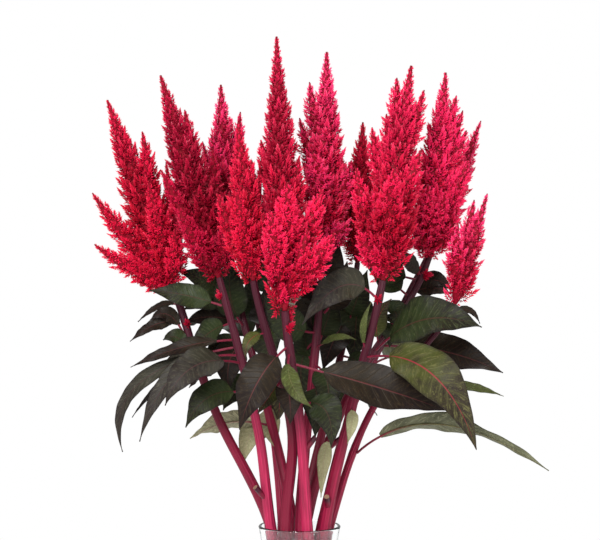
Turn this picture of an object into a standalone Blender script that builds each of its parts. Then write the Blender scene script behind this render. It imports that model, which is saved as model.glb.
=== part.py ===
"""A bunch of plumed celosia standing in a plain clear glass vase with water.

Twelve ridged stems stand in the water, cross the neck of the vase as a loose spiral and fan out above
its lip. Each carries one plume, a main spike with side spikes, all covered in pointed florets, and
the long pointed leaves grow from the stems below. Metres, +Z up, origin at the centre of the vase's foot.
"""

import math
import random
from collections import namedtuple

import bmesh
import bpy
import numpy as np
from mathutils import Vector

MM = 0.001
SEED = 11
TOUCHING_GAP = 0.3 * MM
WELD = 0.001 * MM

# Vase: a turned glass, with a flared lip, a neck and a wide foot
VASE_HEIGHT = 190 * MM
VASE_WALL = 2.4 * MM
VASE_FLOOR = 8 * MM
FLOOR_EDGE = 2 * MM
VASE_STEPS = 24
LIP_RADIUS = 32.8 * MM
NECK_RADIUS = 28.8 * MM
NECK_HEIGHT = 156 * MM
BELLY_RADIUS = 43 * MM
BELLY_HEIGHT = 48 * MM
FOOT_RADIUS = 37 * MM
WATER_LEVEL = 118 * MM

# Stems: nine stand in a ring and three inside it; the ring turns as it goes down into the water
STEM_RADIUS = 4.5 * MM
STEM_TOP_RADIUS = 2.4 * MM
STEM_RIDGES = 5
RIDGE_DEPTH = 0.12
STEM_RING = 24.9 * MM
STEM_CORE = 6.0 * MM
STEM_TWIST_DEGREES = 100
STEM_STEPS = 6
LEAVE_STRAIGHT = 0.6
ARRIVE_STRAIGHT = 0.5
FOOT_RISE = 1 * MM
STEM_TAPER_HEIGHT = 230 * MM
HOLE_MARGIN = 0.4 * MM
HOLE_OVERSHOOT = 0.03
STUB_LENGTH = 16 * MM
STUB_RADIUS = 2.2 * MM
STUB_TAPER = 0.8
STUB_LEAN = 1.1
SHARP_ANGLE = math.radians(40)

# Plumes: a spike of florets is a drawn-out ball whose faces are raised to points. Fullness is a
# spike's radius along it as a share of its largest: at the foot, where it is fullest, and at the tip.
PLUME_SIDES, PLUME_RINGS = 7, 8
SIDE_SIDES, SIDE_RINGS = 5, 5
TIP_CROWDING = 1.25
MAIN_FULLNESS = (0.5, 0.2, 0.08)
SIDE_FULLNESS = (0.5, 0.3, 0.08)
FULLNESS_POWER = 1.3
SIDE_BULGE = 0.22
SIDE_ROOT_DEPTH = 0.03
FLORET_HEIGHT = 5 * MM
FLORET_LIFT = 4.5 * MM
FLORET_SIZES = (0.7, 1.25)
FLORET_LIFTS = (0.4, 1.6)
PRESS_CLEARANCE = 1.8 * MM
PRESS_CORE = 0.8 * MM
PRESS_ROUNDS = 10
SPIKE_SAMPLES = 24
STEM_SAMPLES = 12

# Leaves
BLADE_THICKNESS = 0.8 * MM
BLADE_ROWS = 8
BLADE_FULLNESS, FOOT_POWER, TIP_POWER, MIDDLE_FULLNESS = 2.35, 0.62, 1.3, 0.1
STALK_SHARE = 0.16
STALK_HALF_WIDTH = 1.3 * MM
TIP_HALF_WIDTH = 0.5 * MM
FOLD = 0.22
WAVES = 17
WAVE_IMBALANCE = 0.8
STALK_GAP = 0.3 * MM
STALK_SINK = -3 * MM
SMALL_BLADE_ROWS = 4

Plant = namedtuple("Plant", "ring turn girth waist base tip radius sides")
Side = namedtuple("Side", "share tip radius")
Leaf = namedtuple("Leaf", "plant height bend tip width face wave")

# Every plant: its place in the ring and its turn there in degrees, its stem's girth as a share of the
# common one, a point that the stem goes through on its way up if it needs one, then the plume's foot,
# tip and radius in mm. A side spike leaves the main one at a share of its length and ends at its tip.
PLANTS = [
    Plant("outer", 164, 1.0, (-68, 3, 282), (-101, 5, 380), (-155, 10, 531), 18.5, [
        Side(0.02, (-164, -14, 455), 10.5),
        Side(0.00, (-160, -32, 414), 8.5),
        Side(0.05, (-118, -30, 462), 10.5),
        Side(0.12, (-145, 46, 485), 10.5),
        Side(0.35, (-126, 2, 505), 9.5),
    ]),
    Plant("outer", 204, 1.0, (-33, -20, 270), (-63, -25, 388), (-110, -14, 548), 18.5, [
        Side(0.45, (-91, -12, 521), 9.5),
        Side(0.18, (-70, 8, 491), 9.0),
        Side(0.00, (-93, -56, 442), 10.0),
        Side(0.10, (-108, -36, 472), 8.5),
        Side(0.25, (-104, 26, 492), 10.0),
    ]),
    Plant("outer", 244, 1.05, (-6, -34, 270), (-35, -64, 386), (-47, -57, 506), 16.0, [
        Side(0.08, (-62, -74, 452), 9.0),
        Side(0.03, (-47, -92, 454), 9.0),
        Side(0.30, (-37, -42, 479), 9.0),
    ]),
    Plant("outer", 284, 1.05, (1, -42, 270), (-11, -72, 363), (-18, -25, 577), 18.0, [
        Side(0.05, (-22, -102, 438), 11.0),
        Side(0.10, (17, -72, 456), 11.0),
        Side(0.35, (-30, -38, 495), 10.0),
        Side(0.25, (0, -50, 479), 10.5),
        Side(0.12, (-9, -95, 459), 12.5),
        Side(0.03, (26, -92, 422), 10.5),
    ]),
    Plant("outer", 324, 1.05, (40, -33, 284), (64, -50, 386), (87, -35, 553), 19.5, [
        Side(0.60, (76, -32, 544), 9.0),
        Side(0.35, (57, -24, 506), 10.0),
        Side(0.06, (43, -62, 472), 11.0),
        Side(0.55, (97, -36, 534), 8.5),
        Side(0.25, (93, -54, 486), 10.5),
        Side(0.10, (71, -90, 470), 12.0),
    ]),
    Plant("outer", 4, 0.75, (58, -13, 284), (120, -38, 366), (145, -46, 453), 10.5, [
        Side(0.30, (137, -26, 449), 8.0),
        Side(0.10, (121, -62, 428), 8.5),
    ]),
    Plant("inner", 30, 1.0, (38, 8, 290), (104, 5, 404), (117, 0, 552), 17.5, [
        Side(0.55, (126, 4, 534), 9.0),
        Side(0.40, (134, 4, 506), 10.0),
        Side(0.15, (134, -12, 481), 10.5),
        Side(0.08, (100, -38, 460), 11.5),
        Side(0.20, (118, 40, 516), 10.5),
        Side(0.00, (125, -14, 444), 10.5),
    ]),
    Plant("outer", 44, 0.8, (44, 24, 284), (118, 50, 431), (152, 62, 519), 10.5, [
        Side(0.15, (142, 42, 491), 8.0),
        Side(0.10, (131, 92, 497), 9.0),
    ]),
    Plant("outer", 84, 0.9, None, (49, 74, 400), (54, 86, 520), 16.0, [
        Side(0.20, (35, 82, 492), 10.5),
        Side(0.15, (72, 88, 488), 10.0),
        Side(0.10, (51, 122, 486), 10.5),
    ]),
    Plant("outer", 124, 0.9, None, (-42, 76, 398), (-60, 92, 497), 16.0, [
        Side(0.15, (-88, 86, 471), 10.5),
        Side(0.15, (-21, 98, 476), 10.5),
        Side(0.05, (-59, 128, 460), 11.0),
    ]),
    Plant("inner", 150, 0.95, None, (-59, 36, 416), (-65, 42, 547), 16.5, [
        Side(0.30, (-72, 28, 504), 8.5),
        Side(0.30, (-49, 46, 525), 8.5),
        Side(0.15, (-79, 64, 486), 10.0),
    ]),
    Plant("inner", 270, 1.0, None, (19, -5, 410), (22, 12, 570), 18.0, [
        Side(0.45, (8, 6, 545), 9.0),
        Side(0.30, (29, 10, 487), 10.5),
        Side(0.20, (11, -32, 486), 11.0),
        Side(0.25, (22, 48, 514), 10.5),
        Side(0.40, (20, -4, 508), 8.0),
        Side(0.10, (41, -8, 481), 9.0),
    ]),
]

# Cut side shoots left on a stem: the plant, the height in mm and the heading in degrees
STUBS = [(1, 212, 215), (4, 206, 250), (3, 252, 20), (6, 250, 5)]

# Every large leaf: its plant, its height on the stem in mm, the bend and the tip of its midrib and its
# width in mm, the way that its upper side faces, and the wave of its edge in mm
LEAVES = [
    Leaf(3, 322, (66, -88, 306), (110, -74, 288), 44, (0.1, -1, 0.55), 2.5),
    Leaf(4, 328, (104, -114, 340), (131, -98, 261), 46, (0, -1, 0.5), 3),
    Leaf(6, 330, (92, -62, 371), (140, -52, 350), 50, (-0.1, -0.9, 0.6), 2),
    Leaf(7, 333, (120, 8, 334), (162, -6, 312), 38, (0.1, -1, 0.4), 2),
    Leaf(5, 306, (127, -34, 309), (160, -26, 295), 12, (0.1, -1, 0.6), 1),
    Leaf(5, 250, (100, -46, 305), (190, -62, 241), 26, (0.2, 0.7, 0.75), 2),
    Leaf(4, 373, (33, -64, 400), (2, -58, 352), 34, (-0.2, -1, 0.3), 2),
    Leaf(3, 331, (-12, -108, 308), (9, -104, 293), 17, (0.1, -1, 0.2), 1),
    Leaf(2, 303, (-6, -92, 308), (-7, -80, 278), 27, (0.2, -1, 0.4), 1.5),
    Leaf(3, 292, (27, -76, 299), (24, -64, 259), 32, (0.1, -1, 0.4), 2),
    Leaf(6, 260, (18, -14, 250), (17, -14, 214), 14, (0.1, -1, 0), 1),
    Leaf(9, 284, (-22, 22, 272), (-35, 20, 252), 20, (0.1, 1, 0.4), 1.5),
    Leaf(11, 318, (26, -28, 314), (22, -30, 276), 30, (0.1, -1, 0.4), 2),
    Leaf(11, 344, (-12, -30, 346), (-28, -36, 375), 34, (0, -1, 0.1), 1.5),
    Leaf(1, 340, (-90, -38, 339), (-132, -30, 318), 16, (-0.1, -1, 0.6), 1.5),
    Leaf(1, 334, (-158, -26, 316), (-140, -14, 250), 16, (-0.3, -1, 0.3), 1),
    Leaf(1, 328, (-104, -56, 333), (-123, -50, 262), 22, (-0.3, -1, 0.3), 1.5),
    Leaf(1, 322, (-87, -74, 334), (-102, -66, 291), 34, (-0.2, -1, 0.4), 2),
    Leaf(0, 352, (-112, 0, 358), (-135, -6, 337), 15, (-0.1, -1, 0.5), 1.5),
    Leaf(1, 367, (-88, -24, 376), (-118, -24, 378), 25, (0, -1, 0.3), 1.5),
    Leaf(10, 368, (-69, 12, 386), (-97, 2, 393), 30, (0, -1, 0.3), 1.5),
    Leaf(10, 349, (-62, 4, 370), (-53, 6, 408), 34, (0, -1, 0.1), 2),
    Leaf(3, 336, (-34, -96, 317), (-45, -80, 274), 38, (-0.2, -1, 0.35), 2.5),
    Leaf(1, 298, (-74, -48, 307), (-88, -42, 272), 30, (-0.1, -1, 0.45), 2),
    Leaf(10, 270, (-60, 32, 277), (-89, 20, 257), 27, (-0.1, 0.8, 0.6), 2),
    Leaf(10, 334, (-62, 2, 330), (-56, 0, 296), 34, (0, -1, 0.3), 1.5),
    Leaf(9, 331, (-52, 80, 366), (-100, 108, 345), 42, (-0.3, -0.5, 0.8), 2.5),
    Leaf(9, 352, (-12, 92, 379), (18, 112, 362), 42, (0.1, -0.6, 0.7), 2.5),
    Leaf(8, 337, (14, 92, 350), (2, 112, 305), 42, (0, -0.6, 0.8), 2.5),
    Leaf(8, 354, (62, 88, 370), (72, 104, 328), 42, (0.2, -0.6, 0.8), 2.5),
    Leaf(10, 312, (-62, 60, 327), (-94, 80, 294), 38, (-0.3, -0.5, 0.8), 2.5),
    Leaf(7, 318, (93, 72, 335), (126, 100, 304), 42, (0.2, -0.5, 0.8), 2.5),
    Leaf(9, 296, (-10, 84, 307), (11, 102, 270), 38, (0.1, -0.6, 0.8), 2),
    Leaf(8, 292, (46, 84, 306), (67, 106, 268), 38, (0.2, -0.6, 0.8), 2),
]

# Small leaves, each of one piece with its stem
SMALL_LEAVES = [
    Leaf(5, 356, (133, -36, 372), (141, -30, 352), 8, (0, -1, 0.5), 0.5),
    Leaf(4, 332, (45, -58, 352), (55, -54, 369), 7, (0.1, -1, 0), 0.5),
    Leaf(11, 332, (28, -34, 346), (44, -40, 340), 9, (0, -1, 0.6), 0.5),
    Leaf(4, 288, (42, -50, 279), (37, -46, 260), 12, (0.1, -1, 0.2), 0.5),
    Leaf(0, 312, (-107, 0, 316), (-134, 0, 276), 9, (-0.2, -1, 0.3), 0.5),
    Leaf(0, 366, (-112, 16, 371), (-131, 18, 352), 8, (-0.1, -1, 0.5), 0.5),
    Leaf(2, 346, (-42, -72, 345), (-41, -68, 327), 13, (0, -1, 0.3), 0.5),
    Leaf(6, 389, (89, -14, 402), (71, -20, 406), 18, (0, -1, 0.4), 1),
    Leaf(7, 378, (112, 34, 394), (124, 26, 377), 20, (0, -1, 0.4), 1),
    Leaf(6, 334, (56, -14, 356), (73, -12, 371), 20, (0, -1, 0.1), 1),
]


def material(name, colour, roughness, alpha=1.0):
    made = bpy.data.materials.new(name)
    made.use_nodes = True
    shader = made.node_tree.nodes["Principled BSDF"]
    shader.inputs["Base Color"].default_value = (*colour, 1)
    shader.inputs["Roughness"].default_value = roughness
    shader.inputs["Metallic"].default_value = 0
    shader.inputs["Alpha"].default_value = alpha
    made.diffuse_color = (*colour, alpha)
    return made


def add_object(name, data, finish, collection):
    made = bpy.data.objects.new(name, data)
    made.data.materials.append(finish)
    collection.objects.link(made)
    return made


def add_mesh_object(name, mesh, finish, collection):
    """An object from a finished edit mesh."""
    data = bpy.data.meshes.new(name)
    mesh.to_mesh(data)
    mesh.free()
    return add_object(name, data, finish, collection)


def applied(scene_object):
    """A mesh object in place of one that has modifiers or is a curve, with round sides smooth."""
    graph = bpy.context.evaluated_depsgraph_get()
    data = bpy.data.meshes.new_from_object(scene_object.evaluated_get(graph))
    name = scene_object.name
    collection = scene_object.users_collection[0]
    bpy.data.objects.remove(scene_object)
    mesh = bmesh.new()
    mesh.from_mesh(data)
    bmesh.ops.remove_doubles(mesh, verts=mesh.verts, dist=WELD)
    bmesh.ops.recalc_face_normals(mesh, faces=mesh.faces)
    mesh.to_mesh(data)
    mesh.free()
    data.shade_smooth()
    data.set_sharp_from_angle(angle=SHARP_ANGLE)
    done = bpy.data.objects.new(name, data)
    collection.objects.link(done)
    return done


def boolean(target, others, operation, solver="EXACT"):
    """Joins the others to the target, or cuts them from it, and removes them."""
    helpers = bpy.data.collections.new(f"{target.name}_helpers")
    bpy.context.scene.collection.children.link(helpers)
    for other in others:
        for home in other.users_collection:
            home.objects.unlink(other)
        helpers.objects.link(other)
    step = target.modifiers.new("boolean", "BOOLEAN")
    step.operand_type = "COLLECTION"
    step.collection = helpers
    step.operation = operation
    step.solver = solver
    done = applied(target)
    for other in others:
        bpy.data.objects.remove(other)
    bpy.data.collections.remove(helpers)
    return done


def smooth_step(share):
    return share * share * (3 - 2 * share)


def vase_outline():
    """The outer side of the glass, from the lip down to the foot's edge, as (radius, height)."""
    points = []
    for step in range(4):
        share = step / 3
        radius = LIP_RADIUS + (NECK_RADIUS - LIP_RADIUS) * math.sin(share * math.pi / 2)
        points.append((radius, VASE_HEIGHT + (NECK_HEIGHT - VASE_HEIGHT) * share))
    for step in range(1, 5):
        share = step / 4
        radius = NECK_RADIUS + (BELLY_RADIUS - NECK_RADIUS) * smooth_step(share)
        points.append((radius, NECK_HEIGHT + (BELLY_HEIGHT - NECK_HEIGHT) * share))
    for step in range(1, 4):
        bend = step / 3 * math.pi / 2
        radius = FOOT_RADIUS + (BELLY_RADIUS - FOOT_RADIUS) * math.cos(bend)
        points.append((radius, BELLY_HEIGHT * (1 - math.sin(bend))))
    return points


def inner_outline(gap):
    """The inside of the glass less a gap, from the top down to the floor's edge."""
    floor = VASE_FLOOR + gap
    return [
        (radius - VASE_WALL - gap, height)
        for radius, height in vase_outline()
        if height > floor + FLOOR_EDGE
    ] + [(FOOT_RADIUS - VASE_WALL - gap, floor)]


def turned(name, profile, finish, collection):
    """A solid of revolution from a profile that runs down its outer side."""
    data = bpy.data.meshes.new(name)
    verts = [(radius, 0, height) for radius, height in profile]
    data.from_pydata(verts, [(i, i + 1) for i in range(len(verts) - 1)], [])
    made = add_object(name, data, finish, collection)
    screw = made.modifiers.new("turn", "SCREW")
    screw.steps = screw.render_steps = VASE_STEPS
    screw.use_merge_vertices = True
    screw.merge_threshold = WELD
    return applied(made)


def vase(finish, collection):
    inside = inner_outline(0)
    profile = [(0, VASE_FLOOR), *reversed(inside), *vase_outline(), (0, 0)]
    return turned("vase", profile, finish, collection)


def level_radius(outline, level):
    """The radius of an outline at one height."""
    for (upper, top), (lower, bottom) in zip(outline, outline[1:]):
        if bottom <= level <= top:
            return lower + (upper - lower) * (level - bottom) / (top - bottom)
    raise ValueError("the level is outside the vase")


def water(finish, collection, holes):
    """The water fills the vase up to its level, and each stem stands in its own plain hole."""
    outline = inner_outline(TOUCHING_GAP)
    rim = (level_radius(outline, WATER_LEVEL), WATER_LEVEL)
    below = [point for point in outline if point[1] < WATER_LEVEL]
    profile = [(0, WATER_LEVEL), rim, *below, (0, VASE_FLOOR + TOUCHING_GAP)]
    return boolean(turned("water", profile, finish, collection), holes, "DIFFERENCE")


def plan_point(radius, degrees, height):
    turn = math.radians(degrees)
    return Vector((radius * math.cos(turn), radius * math.sin(turn), height))


def stem_route(plant):
    """From the vase's floor in a straight line to the lip, then in easy bends up to the plume."""
    ring = STEM_RING if plant.ring == "outer" else STEM_CORE
    twist = STEM_TWIST_DEGREES if plant.ring == "outer" else 0
    low = plan_point(ring, plant.turn + twist, VASE_FLOOR + TOUCHING_GAP + FOOT_RISE)
    lip = plan_point(ring, plant.turn, VASE_HEIGHT)
    top = Vector(plant.base) * MM
    knots = [lip, Vector(plant.waist) * MM, top] if plant.waist else [lip, top]
    axis = (Vector(plant.tip) * MM - top).normalized()
    headings = [(top - lip).normalized() for _ in knots]
    headings[0] = (lip - low).normalized().lerp((knots[1] - lip).normalized(), LEAVE_STRAIGHT)
    headings[-1] = axis.lerp((top - knots[-2]).normalized(), ARRIVE_STRAIGHT)
    points = [low, lip]
    pairs = list(zip(knots, knots[1:], headings, headings[1:]))
    for start, end, leave, arrive in pairs:
        span = (end - start).length
        for step in range(1, STEM_STEPS // len(pairs) + 1):
            t = step * len(pairs) / STEM_STEPS
            points.append(
                (2 * t**3 - 3 * t**2 + 1) * start
                + (t**3 - 2 * t**2 + t) * span * leave
                + (3 * t**2 - 2 * t**3) * end
                + (t**3 - t**2) * span * arrive
            )
    return points


def stem_radius(plant, height):
    """Stems are even in the vase and thin towards the plume."""
    share = min(max((height - VASE_HEIGHT) / STEM_TAPER_HEIGHT, 0), 1)
    return plant.girth * (STEM_RADIUS + (STEM_TOP_RADIUS - STEM_RADIUS) * share)


def ridged_section():
    """The stem's cross-section of radius 1: a star so blunt that it reads as soft ridges."""
    data = bpy.data.curves.new("section", "CURVE")
    data.dimensions = "2D"
    spline = data.splines.new("POLY")
    count = 2 * STEM_RIDGES
    spline.points.add(count - 1)
    for index, point in enumerate(spline.points):
        bend = math.tau * index / count
        reach = 1 - RIDGE_DEPTH * (index % 2)
        point.co = (reach * math.cos(bend), reach * math.sin(bend), 0, 1)
    spline.use_cyclic_u = True
    return bpy.data.objects.new("section", data)


def ridged_tube(name, points, radii, section, finish, collection):
    """The section swept along the points, with a radius at each and closed ends."""
    data = bpy.data.curves.new(name, "CURVE")
    data.dimensions = "3D"
    data.bevel_mode = "OBJECT"
    data.bevel_object = section
    data.use_fill_caps = True
    spline = data.splines.new("POLY")
    spline.points.add(len(points) - 1)
    for point, place, radius in zip(spline.points, points, radii):
        point.co = (*place, 1)
        point.radius = radius
    return applied(add_object(name, data, finish, collection))


def route_at(points, height):
    """The point of a stem's centre line at one height, and the stem's direction there."""
    for low, high in zip(points, points[1:]):
        if low.z <= height <= high.z:
            share = (height - low.z) / (high.z - low.z)
            return low.lerp(high, share), (high - low).normalized()
    raise ValueError(f"no stem at height {height}")


def stub(name, route, height, heading, finish, collection):
    """The short foot of a side shoot that was cut away, rooted in its stem."""
    place, along = route_at(route, height)
    turn = math.radians(heading)
    out = Vector((math.cos(turn), math.sin(turn), 0))
    lean = (out + along * STUB_LEAN).normalized()
    mesh = bmesh.new()
    bmesh.ops.create_cone(
        mesh,
        cap_ends=True,
        segments=6,
        radius1=STUB_RADIUS,
        radius2=STUB_RADIUS * STUB_TAPER,
        depth=STUB_LENGTH,
    )
    bmesh.ops.rotate(mesh, verts=mesh.verts, matrix=lean.to_track_quat("Z", "Y").to_matrix())
    bmesh.ops.translate(mesh, verts=mesh.verts, vec=place + lean * STUB_LENGTH / 2)
    return add_mesh_object(name, mesh, finish, collection)


def spike_path(foot, tip, bulge):
    """A spike's centre line: one quadratic bend that leaves its foot outwards."""
    middle = (foot + tip) / 2 + bulge
    return lambda u: (1 - u) ** 2 * foot + 2 * u * (1 - u) * middle + u * u * tip


def fullness_at(u, foot, fullest, tip):
    """A spike's radius at a share of its length: quickly full, then a long taper to the tip."""
    if u < fullest:
        return foot + (1 - foot) * smooth_step(u / fullest)
    return tip + (1 - tip) * (1 - ((u - fullest) / (1 - fullest)) ** FULLNESS_POWER)


def spikes_of(plant):
    """Every spike of a plume as (centre line, fullness, radius, sides, rings), the main one first."""
    foot, tip = Vector(plant.base) * MM, Vector(plant.tip) * MM
    axis = (tip - foot).normalized()
    foot = foot + axis * TOUCHING_GAP
    main = spike_path(foot, tip, Vector((0, 0, 0)))
    found = [(main, MAIN_FULLNESS, plant.radius * MM, PLUME_SIDES, PLUME_RINGS)]
    for side in plant.sides:
        root = main(side.share + SIDE_ROOT_DEPTH)
        end = Vector(side.tip) * MM
        away = end - root
        outward = away - axis * away.dot(axis)
        path = spike_path(root, end, outward * SIDE_BULGE)
        found.append((path, SIDE_FULLNESS, side.radius * MM, SIDE_SIDES, SIDE_RINGS))
    return found


def core_samples(spike):
    """Points along a spike with its radius at each, which stand for its body."""
    path, fullness, radius, _, _ = spike
    shares = [(i + 0.5) / SPIKE_SAMPLES for i in range(SPIKE_SAMPLES)]
    return np.array([(*path(u), fullness_at(u, *fullness) * radius) for u in shares])


def nearest(points, samples):
    """For each point, its distance to the sampled bodies' surface, and the nearest sample."""
    apart = points[:, None, :] - samples[None, :, :3]
    gaps = np.linalg.norm(apart, axis=2) - samples[None, :, 3]
    index = gaps.argmin(axis=1)
    return gaps[np.arange(len(points)), index], samples[index, :3]


def pressed(points, own, plumes, stems):
    """Soft florets give way where plumes touch, each up to the line between, and stop at a stem."""
    for _ in range(PRESS_ROUNDS):
        own_gap, centre = nearest(points, own)
        plume_gap, _ = nearest(points, plumes)
        stem_gap, _ = nearest(points, stems)
        excess = np.maximum((own_gap - plume_gap + PRESS_CLEARANCE) / 2, PRESS_CLEARANCE - stem_gap)
        inward = centre - points
        depth = np.maximum(np.linalg.norm(inward, axis=1), 1e-6)
        step = np.clip(excess, 0, np.maximum(depth - PRESS_CORE, 0))
        points = points + inward / depth[:, None] * step[:, None]
    return points


def frame_at(path, u):
    """The direction of a path at a share of its length, and two directions across it."""
    along = (path(min(u + 0.02, 1)) - path(max(u - 0.02, 0))).normalized()
    right = along.cross(Vector((0, 1, 0))).normalized()
    return along, right, along.cross(right)


def floret_spike(name, spike, rng, neighbours, finish, collection):
    """A ball drawn out along its path, twisted so that its faces wind round, each raised to a point."""
    path, fullness, radius, sides, rings = spike
    mesh = bmesh.new()
    bmesh.ops.create_uvsphere(mesh, u_segments=sides, v_segments=rings, radius=1)
    share_of = {}
    for vert in mesh.verts:
        ring = round((1 - math.acos(max(-1, min(1, vert.co.z))) / math.pi) * rings)
        turn = math.atan2(vert.co.y, vert.co.x) + ring * math.pi / sides
        share_of[vert] = u = 1 - (1 - ring / rings) ** TIP_CROWDING
        _, right, back = frame_at(path, u)
        reach = radius * fullness_at(u, *fullness) if 0 < ring < rings else 0
        vert.co = path(u) + (right * math.cos(turn) + back * math.sin(turn)) * reach
    raised = bmesh.ops.poke(mesh, faces=mesh.faces[:], center_mode="MEAN")["verts"]
    for vert in sorted(raised, key=lambda vert: tuple(vert.co)):
        corners = [edge.other_vert(vert) for edge in vert.link_edges]
        u = sum(share_of[corner] for corner in corners) / len(corners)
        along, _, _ = frame_at(path, u)
        out = vert.co - path(u)
        out -= along * out.dot(along)
        size = (1 + fullness_at(u, *fullness)) / 2 * rng.uniform(*FLORET_SIZES)
        vert.co += out.normalized() * FLORET_HEIGHT * size
        vert.co += along * FLORET_LIFT * size * rng.uniform(*FLORET_LIFTS)
    places = pressed(np.array([vert.co for vert in mesh.verts]), core_samples(spike), *neighbours)
    for vert, place in zip(mesh.verts, places):
        vert.co = place
    bmesh.ops.recalc_face_normals(mesh, faces=mesh.faces)
    return add_mesh_object(name, mesh, finish, collection)


def stem_samples(plant, route):
    """A stem as balls a few millimetres apart."""
    rows = []
    for low, high in zip(route[1:], route[2:]):
        for step in range(STEM_SAMPLES):
            place = low.lerp(high, step / STEM_SAMPLES)
            rows.append((*place, stem_radius(plant, place.z)))
    return np.array(rows)


def plume(number, rng, routes, finish, collection):
    """All the spikes of one plant in one piece, pressed clear of every other plant."""
    others = [
        core_samples(spike)
        for index, plant in enumerate(PLANTS)
        if index != number
        for spike in spikes_of(plant)
    ]
    stems = [
        stem_samples(plant, route)
        for index, (plant, route) in enumerate(zip(PLANTS, routes))
        if index != number
    ]
    neighbours = (np.concatenate(others), np.concatenate(stems))
    name = f"plume_{number + 1:02d}"
    made = [
        floret_spike(f"{name}_{index}" if index else name, spike, rng, neighbours, finish, collection)
        for index, spike in enumerate(spikes_of(PLANTS[number]))
    ]
    return boolean(made[0], made[1:], "UNION", "MANIFOLD")


def blade_half_width(t, width):
    """A stalk, then a long oval blade drawn out into a fine tip."""
    if t <= STALK_SHARE:
        return STALK_HALF_WIDTH
    s = (t - STALK_SHARE) / (1 - STALK_SHARE)
    shape = BLADE_FULLNESS * s**FOOT_POWER * (1 - s) ** TIP_POWER
    shape += MIDDLE_FULLNESS * math.sin(math.pi * s)
    return max(TIP_HALF_WIDTH, STALK_HALF_WIDTH * (1 - s), shape * width / 2)


def leaf_surface(leaf, root):
    """A function from (share along, -1 to 1 across) to a point of the blade's middle surface."""
    bend, tip = Vector(leaf.bend) * MM, Vector(leaf.tip) * MM
    facing = Vector(leaf.face).normalized()
    width, wave = leaf.width * MM, leaf.wave * MM

    def surface(t, across):
        place = (1 - t) ** 2 * root + 2 * t * (1 - t) * bend + t * t * tip
        along = ((1 - t) * (bend - root) + t * (tip - bend)).normalized()
        side = along.cross(facing).normalized()
        upper = side.cross(along)
        half = blade_half_width(t, width)
        ruffle = wave * math.sin(t * WAVES + leaf.height) * math.sin(math.pi * t) ** 0.5
        ruffle *= 0 if t <= STALK_SHARE else 1 if across > 0 else -WAVE_IMBALANCE
        return place + side * half * across + upper * abs(across) * (half * FOLD + ruffle)

    return surface


def blade(name, leaf, root, rows, finish, collection):
    """A thin blade, split into triangles and given its thickness: its stalk is the first row."""
    surface = leaf_surface(leaf, root)
    mesh = bmesh.new()
    bmesh.ops.create_grid(mesh, x_segments=2, y_segments=rows, size=1)
    for vert in mesh.verts:
        row = round((vert.co.y + 1) / 2 * rows)
        share = STALK_SHARE + (1 - STALK_SHARE) * (row - 1) / (rows - 1) if row else 0
        vert.co = surface(share, vert.co.x)
    bmesh.ops.triangulate(mesh, faces=mesh.faces)
    made = add_mesh_object(name, mesh, finish, collection)
    shell = made.modifiers.new("thickness", "SOLIDIFY")
    shell.thickness = BLADE_THICKNESS
    shell.offset = 0
    return made


def leaf_root(leaf, route, clearance):
    """The start of a leaf's stalk, whose nearest corner is at a distance from its stem's surface."""
    centre, along = route_at(route, leaf.height * MM)
    stalk = (Vector(leaf.bend) * MM - centre).normalized()
    out = (stalk - along * stalk.dot(along)).normalized()
    side = stalk.cross(Vector(leaf.face)).normalized()
    corner = STALK_HALF_WIDTH * abs(side.dot(out))
    reach = stem_radius(PLANTS[leaf.plant], centre.z) + corner + clearance
    return centre + out * reach


def leafy_stem(index, plant, route, section, finish, leaf_finish, collection):
    """A stem in one piece with its small leaves and the feet of its cut side shoots."""
    name = f"stem_{index + 1:02d}"
    radii = [stem_radius(plant, point.z) for point in route]
    made = ridged_tube(name, route, radii, section, finish, collection)
    made.data.materials.append(leaf_finish)
    grown = [
        stub(f"{name}_stub", route, height * MM, heading, finish, collection)
        for owner, height, heading in STUBS
        if owner == index
    ]
    for leaf in SMALL_LEAVES:
        if leaf.plant == index:
            root = leaf_root(leaf, route, STALK_SINK)
            grown.append(blade(f"{name}_leaf", leaf, root, SMALL_BLADE_ROWS, leaf_finish, collection))
    return boolean(made, grown, "UNION") if grown else made


def main():
    for old in list(bpy.data.objects):
        bpy.data.objects.remove(old)
    scene = bpy.context.scene.collection
    parts = bpy.data.collections.new("plumed_celosia")
    scene.children.link(parts)

    glass = material("clear_glass", (0.9, 0.95, 0.95), 0.05, 0.3)
    clear_water = material("clear_water", (0.85, 0.93, 0.95), 0.02, 0.4)
    crimson_stem = material("crimson_stem", (0.42, 0.02, 0.08), 0.5)
    red_floret = material("red_floret", (0.68, 0.01, 0.05), 0.7)
    dark_leaf = material("dark_leaf", (0.035, 0.045, 0.02), 0.5)

    routes = [stem_route(plant) for plant in PLANTS]
    section = ridged_section()
    scene.objects.link(section)
    vase(glass, parts)
    holes = [
        ridged_tube(
            f"hole_{index}",
            [route[0].lerp(route[1], -HOLE_OVERSHOOT), route[1]],
            [stem_radius(plant, 0) + HOLE_MARGIN] * 2,
            section,
            clear_water,
            parts,
        )
        for index, (plant, route) in enumerate(zip(PLANTS, routes))
    ]
    water(clear_water, parts, holes)
    for index, (plant, route) in enumerate(zip(PLANTS, routes)):
        leafy_stem(index, plant, route, section, crimson_stem, dark_leaf, parts)
    bpy.data.objects.remove(section)

    rng = random.Random(SEED)
    for index in range(len(PLANTS)):
        plume(index, rng, routes, red_floret, parts)
    for index, leaf in enumerate(LEAVES):
        root = leaf_root(leaf, routes[leaf.plant], STALK_GAP)
        blade(f"leaf_{index + 1:02d}", leaf, root, BLADE_ROWS, dark_leaf, parts)


main()
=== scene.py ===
"""The looks of a bunch of plumed celosia that stands in a clear glass vase of water.

Twelve plumes of fine florets, ridged crimson stems, long pointed leaves with their veins, the glass and
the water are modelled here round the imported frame, and a plain studio is set up with the camera.
"""

import math
from collections import namedtuple

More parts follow.
